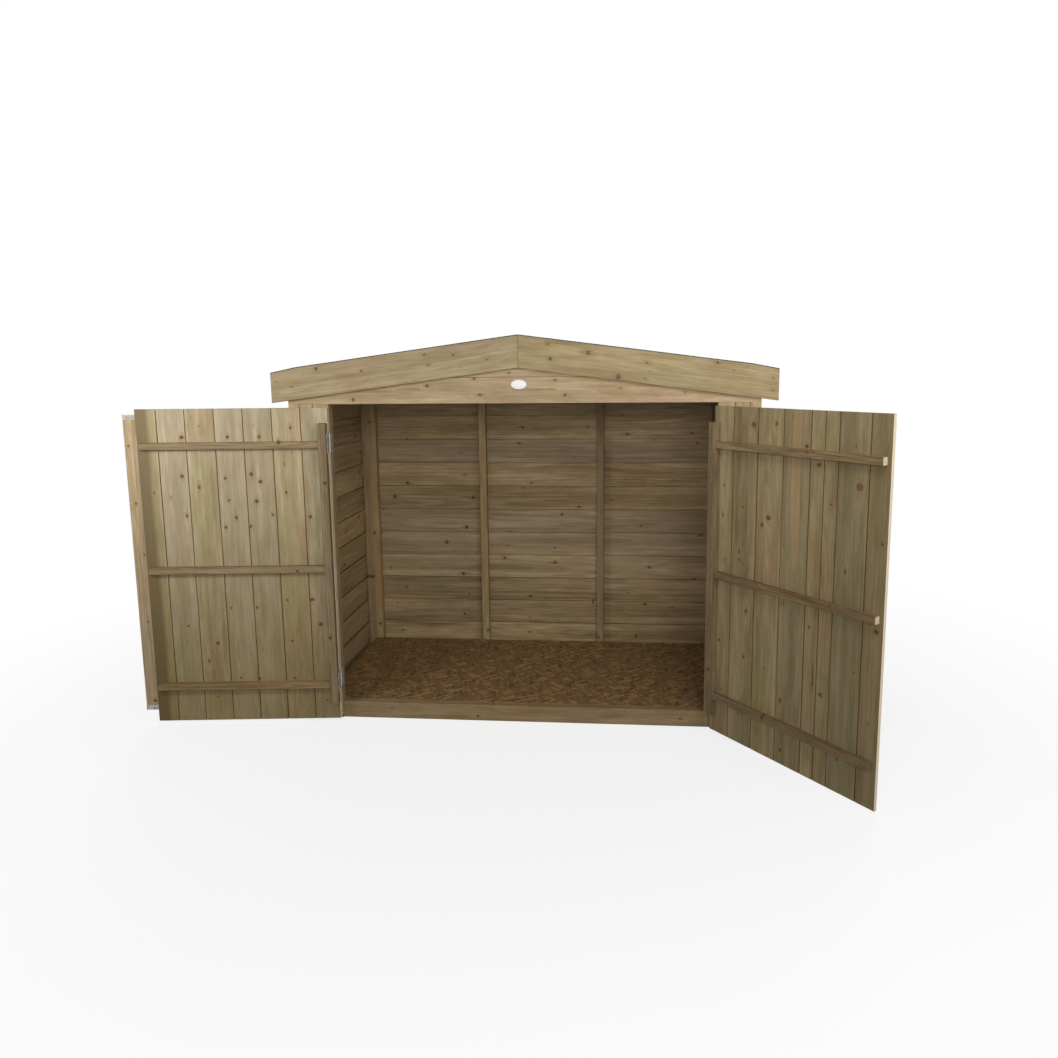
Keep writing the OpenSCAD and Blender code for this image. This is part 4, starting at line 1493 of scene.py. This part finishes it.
post_screws = []
for (side, wall), joints in zip(SIDES, (LEFT_JOINTS, RIGHT_JOINTS)):
    door = wall + "_door"
    edges = [0, *joints, DOOR_W / MM]
    columns = [x for x0, x1 in zip(edges, edges[1:]) for x in (x0 + BOARD_NAIL_IN, x1 - BOARD_NAIL_IN)
               if LEDGE_SHORT / MM < x < (DOOR_W - STILE_W) / MM]
    spots = [(place_on_door(side, x, z), -Y) for z in LEDGE_Z for x in columns]
    spots += [(place_on_door(side, (DOOR_W - STILE_W / 2) / MM, z), -Y) for z in STILE_NAIL_Z]
    swing(drive(door + "_nails", nail_head, spots, door), door)
    spots = []
    for hinge in HINGE_Z:
        for z in (hinge - SCREW_PITCH, hinge, hinge + SCREW_PITCH):
            y = FACE_Y + (MIDDLE_SCREW_DEEP if z == hinge else SCREW_DEEP)
            spots.append((Vector((side * DOOR_SCREW_X, y, z * MM)), side * X))
            post_screws.append((Vector((side * POST_SCREW_X, y, z * MM)), -side * X))
    swing(drive(door + "_screws", screw_head, spots, door, FINISH["galvanised_steel"]), door)
drive("post_screws", screw_head, post_screws, "shed", FINISH["galvanised_steel"])
for head in (screw_head, nail_head, clout_head):
    bpy.data.objects.remove(head)

# %% [markdown]
# ## Starter strips
# The lowest overlap board has no board behind its foot, so a strip is packed in there on each clad
# wall. It keeps the board at the slant of the others, and closes the gap to the rail.

# %% Strips under the cladding
STARTER_H, STARTER_EASE, STARTER_LIGHT = 20 * MM, 0.5 * MM, -0.15
starter_t = LAP_T * (1 - STARTER_H / (LAP_PITCH + LAP_OVER))
starter_top = LAP_START + STARTER_H
starters = [timber("starter_strip", (side * FRAME_X, FRAME_Y0, LAP_START),
                   (side * (FRAME_X + starter_t), BACK_Y, starter_top), Y, Z, STARTER_EASE,
                   light=STARTER_LIGHT) for side in (-1, 1)]
starters.append(timber("starter_strip", (-FRAME_X, BACK_Y, LAP_START),
                       (FRAME_X, BACK_Y + starter_t, starter_top), X, Z, STARTER_EASE, light=STARTER_LIGHT))
starter_strips = joined(starters, "starter_strips", FINISH["framing_timber"])
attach(starter_strips, "shed")
print("starter strips", round(starter_t / MM, 1), "mm thick")

# %% [markdown]
# ## The badge
# The oval badge is a disc, stretched and turned to face the front. Its front is inset three times. The
# first time it is pushed in, which leaves a rim with a groove inside it. Then it is pulled out again,
# and last a little further, for the slightly domed middle. It stays bare.

# %% Badge
BADGE_SIDES, SMOOTH_BELOW = 64, math.radians(40)
BADGE_STEPS = ((3.0, 1.2), (1.2, -0.8), (6.0, -0.3))
badge_low, badge_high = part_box("gable_badge")
badge_size = badge_high - badge_low
alone()
bpy.ops.mesh.primitive_cylinder_add(vertices=BADGE_SIDES, radius=0.5, depth=1,
                                    location=(badge_low + badge_high) / 2, rotation=(math.radians(90), 0, 0),
                                    scale=(badge_size.x, badge_size.z, badge_size.y))
badge = settle(bpy.context.object)
start_edit(badge)
pick(badge, "faces", lambda face: face.normal.y < -0.9)
for inset, push in BADGE_STEPS:
    bpy.ops.mesh.inset(thickness=inset * MM)
    bpy.ops.transform.translate(value=(0, push * MM, 0))
end_edit()
bpy.ops.object.shade_smooth_by_angle(angle=SMOOTH_BELOW)
hand_over([badge], "gable_badge", "oval_badge")

# %% [markdown]
# ## Stage and light
# The studio of the photograph was lit from the front and above, and the light falls off towards the
# ground. A large soft lamp stands for it, with smaller ones beside and above it, two behind the store
# for the other views, and a low even light all round. The floor and the backdrop look white to the
# camera and to shiny metal, and the floor keeps the store's shadow.

# %% World
WHITE, EVEN_LIGHT = paint(255, 255, 255), 0.05
scene = bpy.context.scene
scene.view_settings.view_transform = "Standard"


def seen_directly(tree):
    """1 for rays from the camera and from shiny or clear surfaces, else 0."""
    rays = tree.put("LightPath").node.outputs
    straight = tree.calc("MAXIMUM", rays["Is Camera Ray"], rays["Is Glossy Ray"])
    return tree.calc("MAXIMUM", straight, rays["Is Transmission Ray"])


scene.world = bpy.data.worlds.new("studio")
sky = Nodes(scene.world)
sky.nodes.clear()
sky.show("World", sky.put("MixShader", seen_directly(sky), sky.put("Background", WHITE, EVEN_LIGHT),
                          sky.put("Background", WHITE, 1.0)))
print("the world is set")

# %% [markdown]
# The floor throws back a little warm light from below. Where it is seen directly it is a pale surface
# near the store, so that the shadow falls on it, and fades to plain white further out.

# %% Floor
FLOOR_SIZE, FLOOR_DROP = 60, 0.5 * MM
BOUNCE, PALE = (0.30, 0.29, 0.28, 1.0), (0.9, 0.9, 0.9, 1.0)
FADE_FROM, FADE_TO, LEAST_FADE = 1.0, 3.2, 0.78

alone()
bpy.ops.mesh.primitive_plane_add(size=FLOOR_SIZE, location=(0, 0, -FLOOR_DROP))
floor = bpy.context.object
floor.name = "studio_floor"
floor_finish = bpy.data.materials.new("studio_floor")
ground = Nodes(floor_finish)
ground.nodes.clear()
fade = ground.ramp(ground.length(ground.put("TexCoord", out=3)), FADE_FROM, FADE_TO, LEAST_FADE, 1.0)
bounce = ground.put("BsdfDiffuse", BOUNCE)
shown = ground.put("MixShader", fade, ground.put("BsdfDiffuse", PALE), ground.put("Emission", WHITE, 1.0))
ground.show("Material", ground.put("MixShader", seen_directly(ground), bounce, shown))
floor.data.materials.append(floor_finish)
print("the floor is laid")

# %% [markdown]
# Each lamp is a soft rectangle that the camera doesn't see. The table gives the lamp's place, the
# point it is aimed at, its width and height in metres, and its power in watts.

# %% Lamps
LAMPS = {
    "front_lamp": ((0.4, -4.4, 1.7), (0, 0, 0.8), 2.0, 1.2, 60),
    "side_lamp": ((3.0, -2.8, 1.6), (0, 0, 0.8), 1.5, 1.2, 30),
    "upper_left_lamp": ((-1.6, -1.7, 1.6), (-1.1, -0.5, 1.2), 0.6, 0.4, 12),
    "upper_right_lamp": ((1.0, -1.8, 2.2), (0.3, -0.4, 1.0), 0.7, 0.4, 11),
    "back_left_lamp": ((-3.0, 3.2, 2.8), (0, 0.2, 0.7), 2.0, 1.5, 90),
    "back_right_lamp": ((3.0, 3.2, 2.8), (0, 0.2, 0.7), 2.0, 1.5, 90),
}
for name, (place, aim, width, height, watts) in LAMPS.items():
    data = bpy.data.lights.new(name, "AREA")
    data.shape = "RECTANGLE"
    data.size, data.size_y, data.energy = width, height, watts
    lamp = bpy.data.objects.new(name, data)
    scene.collection.objects.link(lamp)
    lamp.location = place
    lamp.rotation_euler = (Vector(aim) - Vector(place)).to_track_quat("-Z", "Y").to_euler()
    lamp.visible_camera = False
print(len(LAMPS), "lamps are set")
